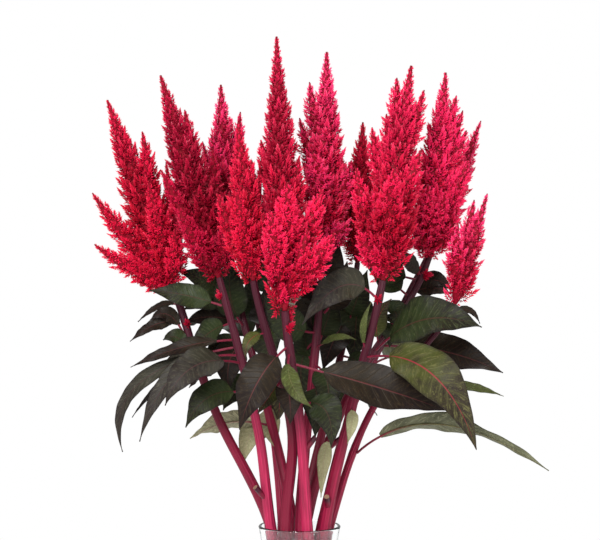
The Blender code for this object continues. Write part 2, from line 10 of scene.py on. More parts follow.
import bmesh
import bpy
import numpy as np
from bpy.props import FloatProperty, FloatVectorProperty, IntProperty, PointerProperty
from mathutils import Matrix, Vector

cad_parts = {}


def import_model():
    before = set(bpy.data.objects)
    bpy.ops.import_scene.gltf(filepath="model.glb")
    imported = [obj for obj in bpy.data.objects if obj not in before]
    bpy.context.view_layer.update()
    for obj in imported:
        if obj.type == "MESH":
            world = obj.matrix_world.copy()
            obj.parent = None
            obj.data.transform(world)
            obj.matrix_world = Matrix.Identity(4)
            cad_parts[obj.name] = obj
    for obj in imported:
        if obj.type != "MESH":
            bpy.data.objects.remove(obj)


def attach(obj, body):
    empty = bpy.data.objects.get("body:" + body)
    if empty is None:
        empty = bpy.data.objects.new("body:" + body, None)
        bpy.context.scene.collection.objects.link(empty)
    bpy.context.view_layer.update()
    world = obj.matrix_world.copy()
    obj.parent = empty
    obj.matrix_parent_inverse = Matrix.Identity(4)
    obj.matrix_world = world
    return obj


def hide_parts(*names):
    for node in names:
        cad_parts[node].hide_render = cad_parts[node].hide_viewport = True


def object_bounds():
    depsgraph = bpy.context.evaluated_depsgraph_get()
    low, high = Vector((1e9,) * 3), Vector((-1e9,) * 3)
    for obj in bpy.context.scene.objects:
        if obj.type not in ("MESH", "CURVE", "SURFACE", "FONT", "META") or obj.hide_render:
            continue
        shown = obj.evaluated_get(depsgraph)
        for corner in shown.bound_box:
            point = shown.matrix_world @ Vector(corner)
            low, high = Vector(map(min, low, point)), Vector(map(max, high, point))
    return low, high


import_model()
cad_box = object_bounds()

bl_info = {
    "name": "Plumed celosia in a vase",
    "version": (1, 0, 0),
    "blender": (4, 5, 0),
    "location": "3D View > Sidebar > Celosia",
    "description": "Builds the florets, leaves, stems, glass and water of a bunch of plumed celosia",
    "category": "Object",
}

MM = 0.001
SEED = 23
GOLDEN_ANGLE = math.pi * (3 - math.sqrt(5))

# Vase
VASE_HEIGHT = 190 * MM
VASE_WALL = 2.4 * MM
VASE_FLOOR = 8 * MM
LIP_RADIUS = 32.8 * MM
NECK_RADIUS = 28.8 * MM
NECK_HEIGHT = 156 * MM
BELLY_RADIUS = 43 * MM
BELLY_HEIGHT = 48 * MM
FOOT_RADIUS = 37 * MM
WATER_LEVEL = 118 * MM
FLOOR_CORNER = 4 * MM
FOOT_CORNER = 1.5 * MM
WATER_TOUCH = 0.25 * MM
GLASS_INDEX, WATER_INDEX = 1.47, 1.333
GLASS_WAVES, WATER_WAVES = 0.1 * MM, 0.05 * MM

# Stems
STEM_RADIUS = 4.5 * MM
STEM_TOP_RADIUS = 2.4 * MM
STEM_RING = 24.9 * MM
STEM_CORE = 6.0 * MM
STEM_TWIST_DEGREES = 100
LEAVE_STRAIGHT = 0.6
ARRIVE_STRAIGHT = 0.5
STEM_FOOT = 9.3 * MM
STEM_TAPER_HEIGHT = 230 * MM
STEM_RIDGES, STEM_SIDES = 11, 44
STRAIGHT_STEPS = 8
JOINT_REACH = 7 * MM
JOINT_SWELL = 0.35 * MM
STUB_LENGTH = 16 * MM
STUB_RADIUS = 2.6 * MM
STUB_TAPER = 0.6 * MM
STUB_RISE = 1.1

# Plumes
MAIN_FULLNESS = (0.5, 0.2, 0.08)
SIDE_FULLNESS = (0.5, 0.3, 0.08)
FULLNESS_POWER = 1.3
SIDE_BULGE = 0.22
SIDE_ROOT_DEPTH = 0.03
SPIKE_SAMPLES = 24
SKIN_SAMPLES = 80
PRESS_CLEARANCE = 0.8 * MM
ROOT_SHIFT = 0.8
BURIED = -2 * MM
TUFT_KINDS, TWIG_KINDS = 6, 4
TUFT_GIRTH, TWIG_GIRTH = 1.1 * MM, 2.7 * MM
TUFT_SPAN, TWIG_SPAN = (0.0, 1.0), (0.0, 0.78)
# Tufts are darkened and twigs lightened: painted shade in the hollows between the twigs, painted light on
# the twigs that stand out
TUFT_SHADE_TONE, TWIG_LIGHT_TONE = -0.1, 0.15
TUFT_ROOT, TWIG_ROOT = 0.5, 0.55
TUFT_STRETCH = 1.6
TWIG_PROUD = 4 * MM
CROWN_DEPTH = 6 * MM
AXIL_TUFTS = 7

# The dark body under the florets, coloured with the painted shade of the hollows: its share of the spike,
# slimmer at the foot, and its marks for the finish
CORE_SHARE = 0.62
CORE_FOOT = 0.4
CORE_SWELL = 0.25
CORE_STEPS, CORE_SIDES = 12, 10
CORE_LEAST = 0.5 * MM
CORE_MARKS = {"reach": 0.05, "chance": 0.3, "rise": 0.3, "tone": 0.3}

# How light a tuft is: by its spike, with painted light on the spikes that stand to the front and painted
# shade on those behind, and towards the spike's end
MIDDLE_TONE, FRONT_LIGHT_TONE, CHANCE_TONE = 0.5, 0.3, 0.26
TUFT_CHANCE_TONE = 0.2
TONE_DEPTH = 30 * MM
SPIKE_END = 40 * MM
END_TONE = 1.0

# Leaves
BLADE_FULLNESS, FOOT_POWER, TIP_POWER, MIDDLE_FULLNESS = 2.35, 0.62, 1.3, 0.1
STALK_SHARE = 0.16
STALK_HALF_WIDTH = 1.3 * MM
TIP_HALF_WIDTH = 0.25 * MM
FOLD = 0.22
WAVES = 17
WAVE_IMBALANCE = 0.8
STALK_GAP = 0.3 * MM
STALK_SINK = -3 * MM
STALK_END = 0.97
STALK_STEPS, STALK_SIDES, STALK_SLOT = 26, 8, 2
STALK_LEAST = 0.12 * MM
SMALL_STALK = 0.75
SMALL_VEINS = 5
VEIN_RUN, VEIN_SLANT = 1.35, 1.6
FINE_WAVE = 0.35 * MM
QUILT_DEPTH = 0.9 * MM
FULL_GRID, LIGHT_GRID = (40, 12), (20, 8)

# Studio, in metres
KEY_PLACE = (-0.6, -1.7, 1.15)
FILL_PLACE = (1.3, -1.2, 0.35)
TOP_PLACE, TOP_SHARE = (0.1, 0.7, 1.6), 1.6
FLOOR_RADIUS = 2.2
FLOOR_FADE = (0.35, 1.05)

Plant = namedtuple("Plant", "ring turn girth waist base tip radius sides colour")
Side = namedtuple("Side", "share tip radius")
Leaf = namedtuple("Leaf", "plant height bend tip width face wave finish")
Tuft = namedtuple("Tuft", "plant height heading size")
Crowd = namedtuple("Crowd", "templates length roots tips marks")
Skin = namedtuple("Skin", "shares centres along out grain line body outside")

# Every plant: its place in the ring and its turn there in degrees, its stem's girth as a share of the
# common one, a point that the stem goes through on its way up if it needs one, then the plume's foot,
# tip and radius in mm. A side spike leaves the main one at a share of its length and ends at its tip.
PLANTS = [
    Plant("outer", 164, 1.0, (-68, 3, 282), (-101, 5, 380), (-155, 10, 531), 18.5, [
        Side(0.02, (-164, -14, 455), 10.5),
        Side(0.00, (-160, -32, 414), 8.5),
        Side(0.05, (-118, -30, 462), 10.5),
        Side(0.12, (-145, 46, 485), 10.5),
        Side(0.35, (-126, 2, 505), 9.5),
    ], "scarlet"),
    Plant("outer", 204, 1.0, (-33, -20, 270), (-63, -25, 388), (-110, -14, 548), 18.5, [
        Side(0.45, (-91, -12, 521), 9.5),
        Side(0.18, (-70, 8, 491), 9.0),
        Side(0.00, (-93, -56, 442), 10.0),
        Side(0.10, (-108, -36, 472), 8.5),
        Side(0.25, (-104, 26, 492), 10.0),
    ], "crimson"),
    Plant("outer", 244, 1.05, (-6, -34, 270), (-35, -64, 386), (-47, -57, 506), 16.0, [
        Side(0.08, (-62, -74, 452), 9.0),
        Side(0.03, (-47, -92, 454), 9.0),
        Side(0.30, (-37, -42, 479), 9.0),
    ], "scarlet"),
    Plant("outer", 284, 1.05, (1, -42, 270), (-11, -72, 363), (-18, -25, 577), 18.0, [
        Side(0.05, (-22, -102, 438), 11.0),
        Side(0.10, (17, -72, 456), 11.0),
        Side(0.35, (-30, -38, 495), 10.0),
        Side(0.25, (0, -50, 479), 10.5),
        Side(0.12, (-9, -95, 459), 12.5),
        Side(0.03, (26, -92, 422), 10.5),
    ], "red"),
    Plant("outer", 324, 1.05, (40, -33, 284), (64, -50, 386), (87, -35, 553), 19.5, [
        Side(0.60, (76, -32, 544), 9.0),
        Side(0.35, (57, -24, 506), 10.0),
        Side(0.06, (43, -62, 472), 11.0),
        Side(0.55, (97, -36, 534), 8.5),
        Side(0.25, (93, -54, 486), 10.5),
        Side(0.10, (71, -90, 470), 12.0),
    ], "red"),
    Plant("outer", 4, 0.75, (58, -13, 284), (120, -38, 366), (145, -46, 453), 10.5, [
        Side(0.30, (137, -26, 449), 8.0),
        Side(0.10, (121, -62, 428), 8.5),
    ], "pink"),
    Plant("inner", 30, 1.0, (38, 8, 290), (104, 5, 404), (117, 0, 552), 17.5, [
        Side(0.55, (126, 4, 534), 9.0),
        Side(0.40, (134, 4, 506), 10.0),
        Side(0.15, (134, -12, 481), 10.5),
        Side(0.08, (100, -38, 460), 11.5),
        Side(0.20, (118, 40, 516), 10.5),
        Side(0.00, (125, -14, 444), 10.5),
    ], "rose"),
    Plant("outer", 44, 0.8, (44, 24, 284), (118, 50, 431), (152, 62, 519), 10.5, [
        Side(0.15, (142, 42, 491), 8.0),
        Side(0.10, (131, 92, 497), 9.0),
    ], "pink"),
    Plant("outer", 84, 0.9, None, (49, 74, 400), (54, 86, 520), 16.0, [
        Side(0.20, (35, 82, 492), 10.5),
        Side(0.15, (72, 88, 488), 10.0),
        Side(0.10, (51, 122, 486), 10.5),
    ], "scarlet"),
    Plant("outer", 124, 0.9, None, (-42, 76, 398), (-60, 92, 497), 16.0, [
        Side(0.15, (-88, 86, 471), 10.5),
        Side(0.15, (-21, 98, 476), 10.5),
        Side(0.05, (-59, 128, 460), 11.0),
    ], "crimson"),
    Plant("inner", 150, 0.95, None, (-59, 36, 416), (-65, 42, 547), 16.5, [
        Side(0.30, (-72, 28, 504), 8.5),
        Side(0.30, (-49, 46, 525), 8.5),
        Side(0.15, (-79, 64, 486), 10.0),
    ], "pink"),
    Plant("inner", 270, 1.0, None, (19, -5, 410), (22, 12, 570), 18.0, [
        Side(0.45, (8, 6, 545), 9.0),
        Side(0.30, (29, 10, 487), 10.5),
        Side(0.20, (11, -32, 486), 11.0),
        Side(0.25, (22, 48, 514), 10.5),
        Side(0.40, (20, -4, 508), 8.0),
        Side(0.10, (41, -8, 481), 9.0),
    ], "pink"),
]

# Side spikes of florets alone, by plant, which close the ranks between the plumes
CLOSE_SIDES = {
    0: [
        Side(0.00, (-97, -34, 426), 8.5), Side(0.00, (-129, -8, 386), 8.0),
        Side(0.02, (-134, -20, 400), 8.0), Side(0.10, (-97, -6, 456), 7.5),
        Side(0.05, (-109, 26, 482), 8.5),
    ],
    1: [Side(0.00, (-54, -50, 436), 9.0)],
    2: [Side(0.00, (-27, -72, 438), 9.0), Side(0.25, (-30, -50, 478), 7.0)],
    3: [Side(0.00, (6, -84, 425), 9.0)],
    4: [Side(0.00, (46, -60, 426), 9.0), Side(0.45, (68, -30, 516), 8.0)],
    6: [Side(0.00, (88, -26, 438), 9.0), Side(0.02, (114, -32, 456), 7.5), Side(0.45, (131, 4, 522), 8.0)],
    7: [Side(0.00, (134, 38, 466), 8.0)],
    10: [Side(0.20, (-80, 40, 500), 7.0)],
    11: [Side(0.00, (38, -20, 430), 10.0), Side(0.30, (0, 4, 516), 8.0)],
}

# Cut side shoots left on a stem: the plant, the height in mm and the heading in degrees
STUBS = [(1, 212, 215), (4, 206, 250), (3, 252, 20), (6, 250, 5)]

# Every large leaf: its plant, its height on the stem in mm, the bend and the tip of its midrib and its
# width in mm, the way that its upper side faces, the wave of its edge in mm, and its finish
LEAVES = [
    Leaf(3, 322, (66, -88, 306), (110, -74, 288), 44, (0.1, -1, 0.55), 2.5, "bronze"),
    Leaf(4, 328, (104, -114, 340), (131, -98, 261), 46, (0, -1, 0.5), 3, "olive"),
    Leaf(6, 330, (92, -62, 371), (140, -52, 350), 50, (-0.1, -0.9, 0.6), 2, "deep"),
    Leaf(7, 333, (120, 8, 334), (162, -6, 312), 38, (0.1, -1, 0.4), 2, "bronze"),
    Leaf(5, 306, (127, -34, 309), (160, -26, 295), 12, (0.1, -1, 0.6), 1, "fresh"),
    Leaf(5, 250, (100, -46, 305), (190, -62, 241), 26, (0.2, 0.7, 0.75), 2, "fresh"),
    Leaf(4, 373, (33, -64, 400), (2, -58, 352), 34, (-0.2, -1, 0.3), 2, "grey"),
    Leaf(3, 331, (-12, -108, 308), (9, -104, 293), 17, (0.1, -1, 0.2), 1, "fresh"),
    Leaf(2, 303, (-6, -92, 308), (-7, -80, 278), 27, (0.2, -1, 0.4), 1.5, "bronze"),
    Leaf(3, 292, (27, -76, 299), (24, -64, 259), 32, (0.1, -1, 0.4), 2, "deep"),
    Leaf(6, 260, (18, -14, 250), (17, -14, 214), 14, (0.1, -1, 0), 1, "pale"),
    Leaf(9, 284, (-22, 22, 272), (-35, 20, 252), 20, (0.1, 1, 0.4), 1.5, "deep"),
    Leaf(11, 318, (26, -28, 314), (22, -30, 276), 30, (0.1, -1, 0.4), 2, "deep"),
    Leaf(11, 344, (-12, -30, 346), (-28, -36, 375), 34, (0, -1, 0.1), 1.5, "deep"),
    Leaf(1, 340, (-90, -38, 339), (-132, -30, 318), 16, (-0.1, -1, 0.6), 1.5, "bronze"),
    Leaf(1, 334, (-158, -26, 316), (-140, -14, 250), 16, (-0.3, -1, 0.3), 1, "grey"),
    Leaf(1, 328, (-104, -56, 333), (-123, -50, 262), 22, (-0.3, -1, 0.3), 1.5, "grey"),
    Leaf(1, 322, (-87, -74, 334), (-102, -66, 291), 34, (-0.2, -1, 0.4), 2, "grey"),
    Leaf(0, 352, (-112, 0, 358), (-135, -6, 337), 15, (-0.1, -1, 0.5), 1.5, "bronze"),
    Leaf(1, 367, (-88, -24, 376), (-118, -24, 378), 25, (0, -1, 0.3), 1.5, "deep"),
    Leaf(10, 368, (-69, 12, 386), (-97, 2, 393), 30, (0, -1, 0.3), 1.5, "deep"),
    Leaf(10, 349, (-62, 4, 370), (-53, 6, 408), 34, (0, -1, 0.1), 2, "deep"),
    Leaf(3, 336, (-34, -96, 317), (-45, -80, 274), 38, (-0.2, -1, 0.35), 2.5, "bronze"),
    Leaf(1, 298, (-74, -48, 307), (-88, -42, 272), 30, (-0.1, -1, 0.45), 2, "deep"),
    Leaf(10, 270, (-60, 32, 277), (-89, 20, 257), 27, (-0.1, 0.8, 0.6), 2, "pale"),
    Leaf(10, 334, (-62, 2, 330), (-56, 0, 296), 34, (0, -1, 0.3), 1.5, "bronze"),
    Leaf(9, 331, (-52, 80, 366), (-100, 108, 345), 42, (-0.3, -0.5, 0.8), 2.5, "deep"),
    Leaf(9, 352, (-12, 92, 379), (18, 112, 362), 42, (0.1, -0.6, 0.7), 2.5, "olive"),
    Leaf(8, 337, (14, 92, 350), (2, 112, 305), 42, (0, -0.6, 0.8), 2.5, "bronze"),
    Leaf(8, 354, (62, 88, 370), (72, 104, 328), 42, (0.2, -0.6, 0.8), 2.5, "deep"),
    Leaf(10, 312, (-62, 60, 327), (-94, 80, 294), 38, (-0.3, -0.5, 0.8), 2.5, "bronze"),
    Leaf(7, 318, (93, 72, 335), (126, 100, 304), 42, (0.2, -0.5, 0.8), 2.5, "olive"),
    Leaf(9, 296, (-10, 84, 307), (11, 102, 270), 38, (0.1, -0.6, 0.8), 2, "deep"),
    Leaf(8, 292, (46, 84, 306), (67, 106, 268), 38, (0.2, -0.6, 0.8), 2, "deep"),
]

# Small leaves, rooted in their stems
SMALL_LEAVES = [
    Leaf(5, 356, (133, -36, 372), (141, -30, 352), 8, (0, -1, 0.5), 0.5, "bronze"),
    Leaf(4, 332, (45, -58, 352), (55, -54, 369), 7, (0.1, -1, 0), 0.5, "fresh"),
    Leaf(11, 332, (28, -34, 346), (44, -40, 340), 9, (0, -1, 0.6), 0.5, "fresh"),
    Leaf(4, 288, (42, -50, 279), (37, -46, 260), 12, (0.1, -1, 0.2), 0.5, "pale"),
    Leaf(0, 312, (-107, 0, 316), (-134, 0, 276), 9, (-0.2, -1, 0.3), 0.5, "grey"),
    Leaf(0, 366, (-112, 16, 371), (-131, 18, 352), 8, (-0.1, -1, 0.5), 0.5, "bronze"),
    Leaf(2, 346, (-42, -72, 345), (-41, -68, 327), 13, (0, -1, 0.3), 0.5, "olive"),
    Leaf(6, 389, (89, -14, 402), (71, -20, 406), 18, (0, -1, 0.4), 1, "grey"),
    Leaf(7, 378, (112, 34, 394), (124, 26, 377), 20, (0, -1, 0.4), 1, "bronze"),
    Leaf(6, 334, (56, -14, 356), (73, -12, 371), 20, (0, -1, 0.1), 1, "olive"),
]

# Leaves between the stems, inside the bunch. They all face the front, so in place of the way that the upper
# side faces, each row has only its rise.
INNER_LEAVES = [
    Leaf(plant, height, bend, tip, width, (0, -1, rise), wave, finish)
    for plant, height, bend, tip, width, rise, wave, finish in [
        (0, 345, (-105, 0, 368), (-119, -4, 354), 16, 0.3, 1, "bronze"),
        (10, 375, (-76, 20, 374), (-93, 10, 362), 30, 0.3, 1.5, "deep"),
        (1, 352, (-72, -2, 348), (-86, -4, 330), 26, 0.3, 1.5, "deep"),
        (9, 345, (-27, 12, 344), (-24, 8, 314), 34, 0.3, 2, "deep"),
        (10, 390, (-46, 34, 402), (-34, 40, 378), 36, 0.2, 2, "deep"),
        (11, 368, (4, 2, 368), (12, 4, 342), 32, 0.3, 1.5, "bronze"),
        (11, 335, (-4, 6, 322), (4, 8, 290), 34, 0.3, 2, "deep"),
        (8, 352, (28, 42, 340), (19, 30, 312), 32, 0.3, 2, "bronze"),
        (8, 382, (48, 58, 352), (44, 50, 316), 40, 0.3, 2, "deep"),
        (11, 360, (32, -6, 372), (38, -8, 401), 32, 0.2, 2, "bronze"),
        (6, 372, (70, 8, 388), (57, 6, 402), 28, 0.2, 1.5, "deep"),
        (6, 350, (74, 2, 352), (72, -2, 332), 26, 0.3, 1.5, "deep"),
        (9, 312, (-12, 30, 300), (-18, 20, 270), 30, 0.3, 1.5, "olive"),
        (8, 300, (26, 40, 290), (30, 26, 262), 32, 0.3, 1.5, "deep"),
        (10, 300, (-52, 30, 305), (-62, 20, 280), 30, 0.3, 1.5, "deep"),
        (11, 385, (24, -2, 396), (31, -4, 420), 28, 0.2, 1, "bronze"),
        (6, 385, (66, 4, 392), (50, 0, 408), 30, 0.2, 1, "deep"),
        (8, 350, (47, 50, 368), (56, 40, 394), 28, 0.2, 1, "deep"),
        (11, 338, (22, 2, 350), (28, 0, 376), 30, 0.2, 1, "deep"),
        (11, 322, (4, 4, 330), (3, 2, 358), 26, 0.2, 1, "deep"),
        (11, 362, (9, 4, 370), (11, 2, 394), 24, 0.2, 1, "bronze"),
        (9, 372, (-32, 34, 386), (-27, 28, 414), 28, 0.2, 1, "deep"),
        (9, 345, (-30, 32, 352), (-28, 28, 380), 28, 0.2, 1, "bronze"),
        (9, 350, (-40, 38, 362), (-41, 34, 392), 26, 0.2, 1, "deep"),
        (10, 352, (-74, 18, 360), (-92, 14, 352), 22, 0.3, 1, "bronze"),
        (10, 330, (-62, 14, 338), (-76, 12, 328), 24, 0.3, 1, "deep"),
        (0, 332, (-98, 0, 346), (-109, -2, 338), 18, 0.3, 1, "deep"),
        (0, 318, (-96, -4, 326), (-112, -8, 308), 22, 0.3, 1, "grey"),
        (6, 352, (78, 2, 370), (78, -4, 346), 26, 0.3, 1, "deep"),
        (7, 374, (106, 30, 385), (124, 26, 374), 18, 0.3, 1, "bronze"),
        (9, 278, (-42, 24, 268), (-47, 20, 234), 24, 0.2, 1, "pale"),
        (9, 284, (-26, 12, 270), (-19, 8, 250), 22, 0.2, 1, "pale"),
        (8, 322, (52, 30, 322), (62, 20, 298), 26, 0.3, 1, "deep"),
        (11, 302, (16, -22, 300), (12, -26, 262), 32, 0.3, 1.5, "deep"),
        (2, 308, (-22, -60, 300), (-32, -58, 284), 16, 0.3, 1, "olive"),
    ]
]

# Small red tufts in the leaf axils below the plumes: plant, height in mm, heading in degrees, size in mm
TUFTS = [
    Tuft(*row)
    for row in [
        (0, 330, 200, 9), (1, 372, 190, 11), (1, 300, 330, 9), (3, 348, 300, 12), (3, 356, 60, 10),
        (4, 370, 250, 9), (5, 352, 260, 8), (10, 380, 280, 10), (11, 372, 240, 10), (8, 380, 90, 11),
        (9, 376, 120, 11), (7, 404, 320, 9), (7, 392, 230, 12), (6, 388, 330, 11), (0, 350, 300, 9),
    ]
]

# The finishes of the florets: the body, the top of the plume and the lit tips
FLORET_COLOURS = {
    "red": ((0.60, 0.006, 0.036), (0.74, 0.018, 0.095), (0.95, 0.08, 0.17)),
    "scarlet": ((0.58, 0.006, 0.028), (0.62, 0.010, 0.058), (0.92, 0.06, 0.12)),
    "crimson": ((0.40, 0.004, 0.026), (0.52, 0.009, 0.055), (0.80, 0.05, 0.12)),
    "rose": ((0.66, 0.007, 0.045), (0.80, 0.025, 0.130), (1.0, 0.12, 0.25)),
    "pink": ((0.64, 0.006, 0.045), (0.85, 0.035, 0.160), (1.0, 0.15, 0.28)),
}
# Painted shade: the dark of the hollows, at the florets' feet and on the cores
HOLLOW_SHADE_COLOUR = (0.17, 0.003, 0.011)
# Painted glints on a few floret tips
PAINTED_GLINT_COLOUR = (1.0, 0.32, 0.42)
SPOT_COLOUR = (0.06, 0.005, 0.014)
# Painted shade on the tops of the stems, under the plumes
STEM_SHADE_COLOUR = (0.034, 0.003, 0.010)
CUT_COLOURS = (0.12, 0.05, 0.03), (0.25, 0.15, 0.09)

# The finishes of the leaves: the upper side at its foot and at its tip, its veins, the underside and
# the midrib
LEAF_COLOURS = {
    "bronze": (
        (0.012, 0.008, 0.004), (0.009, 0.005, 0.005), (0.030, 0.020, 0.010),
        (0.055, 0.036, 0.032), (0.090, 0.022, 0.022),
    ),
    "deep": (
        (0.016, 0.024, 0.007), (0.010, 0.007, 0.006), (0.040, 0.048, 0.018),
        (0.060, 0.060, 0.034), (0.050, 0.022, 0.014),
    ),
    "olive": (
        (0.040, 0.046, 0.008), (0.022, 0.013, 0.012), (0.090, 0.085, 0.030),
        (0.110, 0.095, 0.045), (0.240, 0.020, 0.032),
    ),
    "fresh": (
        (0.048, 0.060, 0.015), (0.040, 0.042, 0.013), (0.100, 0.125, 0.035),
        (0.115, 0.115, 0.070), (0.120, 0.110, 0.045),
    ),
    "grey": (
        (0.024, 0.022, 0.014), (0.018, 0.013, 0.013), (0.055, 0.050, 0.034),
        (0.070, 0.062, 0.052), (0.060, 0.026, 0.026),
    ),
    "pale": (
        (0.300, 0.290, 0.150), (0.260, 0.240, 0.130), (0.400, 0.390, 0.250),
        (0.250, 0.240, 0.150), (0.330, 0.240, 0.170),
    ),
}


class PlumeSettings(bpy.types.PropertyGroup):
    """Sizes and numbers of the florets, their tufts and the pointed twigs."""

    floret_length: FloatProperty(
        name="Floret length", description="Length of one floret", default=3.1 * MM, unit="LENGTH"
    )
    floret_width: FloatProperty(
        name="Floret width", description="Width of one floret", default=1.6 * MM, unit="LENGTH"
    )
    tuft_length: FloatProperty(
        name="Tuft length", description="Length of a full tuft of florets", default=9 * MM, unit="LENGTH"
    )
    tuft_spacing: FloatProperty(
        name="Tuft spacing", description="Distance between tufts on a spike", default=6.8 * MM, unit="LENGTH"
    )
    florets: IntProperty(name="Florets", description="Florets on one tuft", default=16, min=3)
    twig_length: FloatProperty(
        name="Twig length", description="Length of a full pointed twig", default=22 * MM, unit="LENGTH"
    )
    twig_spacing: FloatProperty(
        name="Twig spacing", description="Distance between twigs on a spike", default=14 * MM, unit="LENGTH"
    )
    twig_florets: IntProperty(name="Twig florets", description="Florets on one twig", default=62, min=9)
    proud: FloatProperty(
        name="Proud", description="How far tufts stand out of a spike", default=2.2 * MM, unit="LENGTH"
    )


class LeafSettings(bpy.types.PropertyGroup):
    """Sizes of the leaf blades, and the size and colour of their stalks."""

    thickness: FloatProperty(
        name="Thickness", description="Thickness of a blade", default=0.5 * MM, unit="LENGTH"
    )
    veins: IntProperty(name="Veins", description="Side veins on each half of a blade", default=9, min=1)
    stalk_radius: FloatProperty(
        name="Stalk radius", description="Radius of a leaf stalk", default=1.0 * MM, unit="LENGTH"
    )
    stalk_colour: FloatVectorProperty(
        name="Stalk colour", description="The stalks' colour", default=(0.15, 0.009, 0.026), subtype="COLOR"
    )


class StemSettings(bpy.types.PropertyGroup):
    """Colours and grooves of the stems."""

    colour: FloatVectorProperty(
        name="Colour", description="Colour of the stems", default=(0.32, 0.004, 0.042), subtype="COLOR"
    )
    streaks: FloatVectorProperty(
        name="Streaks", description="Colour of the ridges", default=(0.50, 0.030, 0.105), subtype="COLOR"
    )
    ridge_depth: FloatProperty(
        name="Ridge depth", description="Depth of the grooves", default=0.45 * MM, unit="LENGTH"
    )
    tones: FloatVectorProperty(
        name="Tones",
        description="How light the stems are, in turn",
        size=6,
        default=(0.5, 0.95, 0.35, 0.9, 0.6, 0.75),
    )


class VaseSettings(bpy.types.PropertyGroup):
    """Finish of the glass and the water."""

    glass: FloatVectorProperty(
        name="Glass", description="Tint of the glass", default=(0.96, 0.985, 0.985), subtype="COLOR"
    )
    water: FloatVectorProperty(
        name="Water", description="Tint of the water", default=(0.96, 0.985, 0.98), subtype="COLOR"
    )
    steps: IntProperty(name="Steps", description="Steps round the vase", default=96, min=12)


class StudioSettings(bpy.types.PropertyGroup):
    """Camera, floor and light."""

    camera_place: FloatVectorProperty(
        name="Camera", description="Camera's place", default=(0.0004, -1.3, 0.394), subtype="TRANSLATION"
    )
    lens: FloatProperty(name="Lens", description="Focal length in mm", default=97.5)
    floor: FloatVectorProperty(
        name="Floor", description="Colour of the floor", default=(0.86, 0.86, 0.86), subtype="COLOR"
    )
    ambient: FloatProperty(name="Ambient", description="Strength of the light all round", default=0.5)
    key: FloatProperty(name="Key light", description="Power of the key light in watts", default=52.0)
    fill: FloatProperty(name="Fill light", description="Power of the fill light in watts", default=13.0)


class Socket:
    """A shader output on which arithmetic adds Math nodes."""

    def __init__(self, finish, output):
        self.finish = finish
        self.output = output

    def math(self, operation, *others):
        return self.finish.node("Math", dict(enumerate((self, *others))), operation=operation)

    def __add__(self, other):
        return self.math("ADD", other)

    def __mul__(self, other):
        return self.math("MULTIPLY", other)

    def __sub__(self, other):
        return self.math("SUBTRACT", other)

    def __rsub__(self, other):
        return self.finish.node("Math", {0: other, 1: self}, operation="SUBTRACT")

    def __pow__(self, other):
        return self.math("POWER", other)

    __radd__ = __add__
    __rmul__ = __mul__

    def between(self, low, high):
        """0 below the low value, 1 above the high one, and smooth between them."""
        inputs = {"Value": self, "From Min": low, "From Max": high}
        return self.finish.node("MapRange", inputs, interpolation_type="SMOOTHSTEP")


class Finish:
    """A material whose nodes are added by one method."""

    def __init__(self, name):
        self.material = bpy.data.materials.new(name)
        self.material.use_nodes = True
        self.tree = self.material.node_tree
        self.shader = self.tree.nodes["Principled BSDF"]

    def node(self, kind, inputs=None, output=0, **settings):
        made = self.tree.nodes.new("ShaderNode" + kind)
        for key, value in settings.items():
            setattr(made, key, value)
        for key, value in (inputs or {}).items():
            self.link(made.inputs[key], value)
        return Socket(self, made.outputs[output])

    def link(self, target, value):
        if isinstance(value, Socket):
            self.tree.links.new(value.output, target)
        elif target.type == "RGBA" and len(value) == 3:
            target.default_value = (*value, 1)
        else:
            target.default_value = value

    def set(self, **values):
        for key, value in values.items():
            self.link(self.shader.inputs[key.replace("_", " ")], value)

    def mix(self, share, low, high):
        """A colour between two."""
        return self.node("Mix", {0: share, 6: low, 7: high}, output=2, data_type="RGBA")

    def attribute(self, name):
        return self.node("Attribute", output=2, attribute_name=name)

    def place(self):
        return self.node("TexCoord", output=3)

    def uv(self):
        """The piece's own two directions, each from 0 to 1."""
        split = self.node("SeparateXYZ", {0: self.node("TexCoord", output=2)})
        return split, Socket(self, split.output.node.outputs[1])

    def noise(self, vector, scale, detail=3.0):
        return self.node("TexNoise", {"Vector": vector, "Scale": scale, "Detail": detail})

    def bump(self, height, distance, strength=1.0):
        inputs = {"Height": height, "Distance": distance, "Strength": strength}
        self.set(Normal=self.node("Bump", inputs))


def deselect_all():
    for scene_object in bpy.context.selected_objects:
        scene_object.select_set(False)


def settings_of(name):
    return getattr(bpy.context.scene, name)


def add_finishes(scene_object, finishes):
    for finish in finishes:
        scene_object.data.materials.append(finish)


def kept(scene_object, name, nodes, finishes):
    """Names a finished piece, gives it its finishes, and has it stand for its CAD nodes."""
    scene_object.name = scene_object.data.name = name
    add_finishes(scene_object, finishes)
    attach(scene_object, "root")
    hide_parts(*nodes)
    scene_object.select_set(False)
    return scene_object


def smooth_step(share):
    return share * share * (3 - 2 * share)


def quadratic(start, middle, end, t):
    return (1 - t) ** 2 * start + 2 * t * (1 - t) * middle + t * t * end


def plan_point(radius, degrees, height):
    turn = math.radians(degrees)
    return Vector((radius * math.cos(turn), radius * math.sin(turn), height))


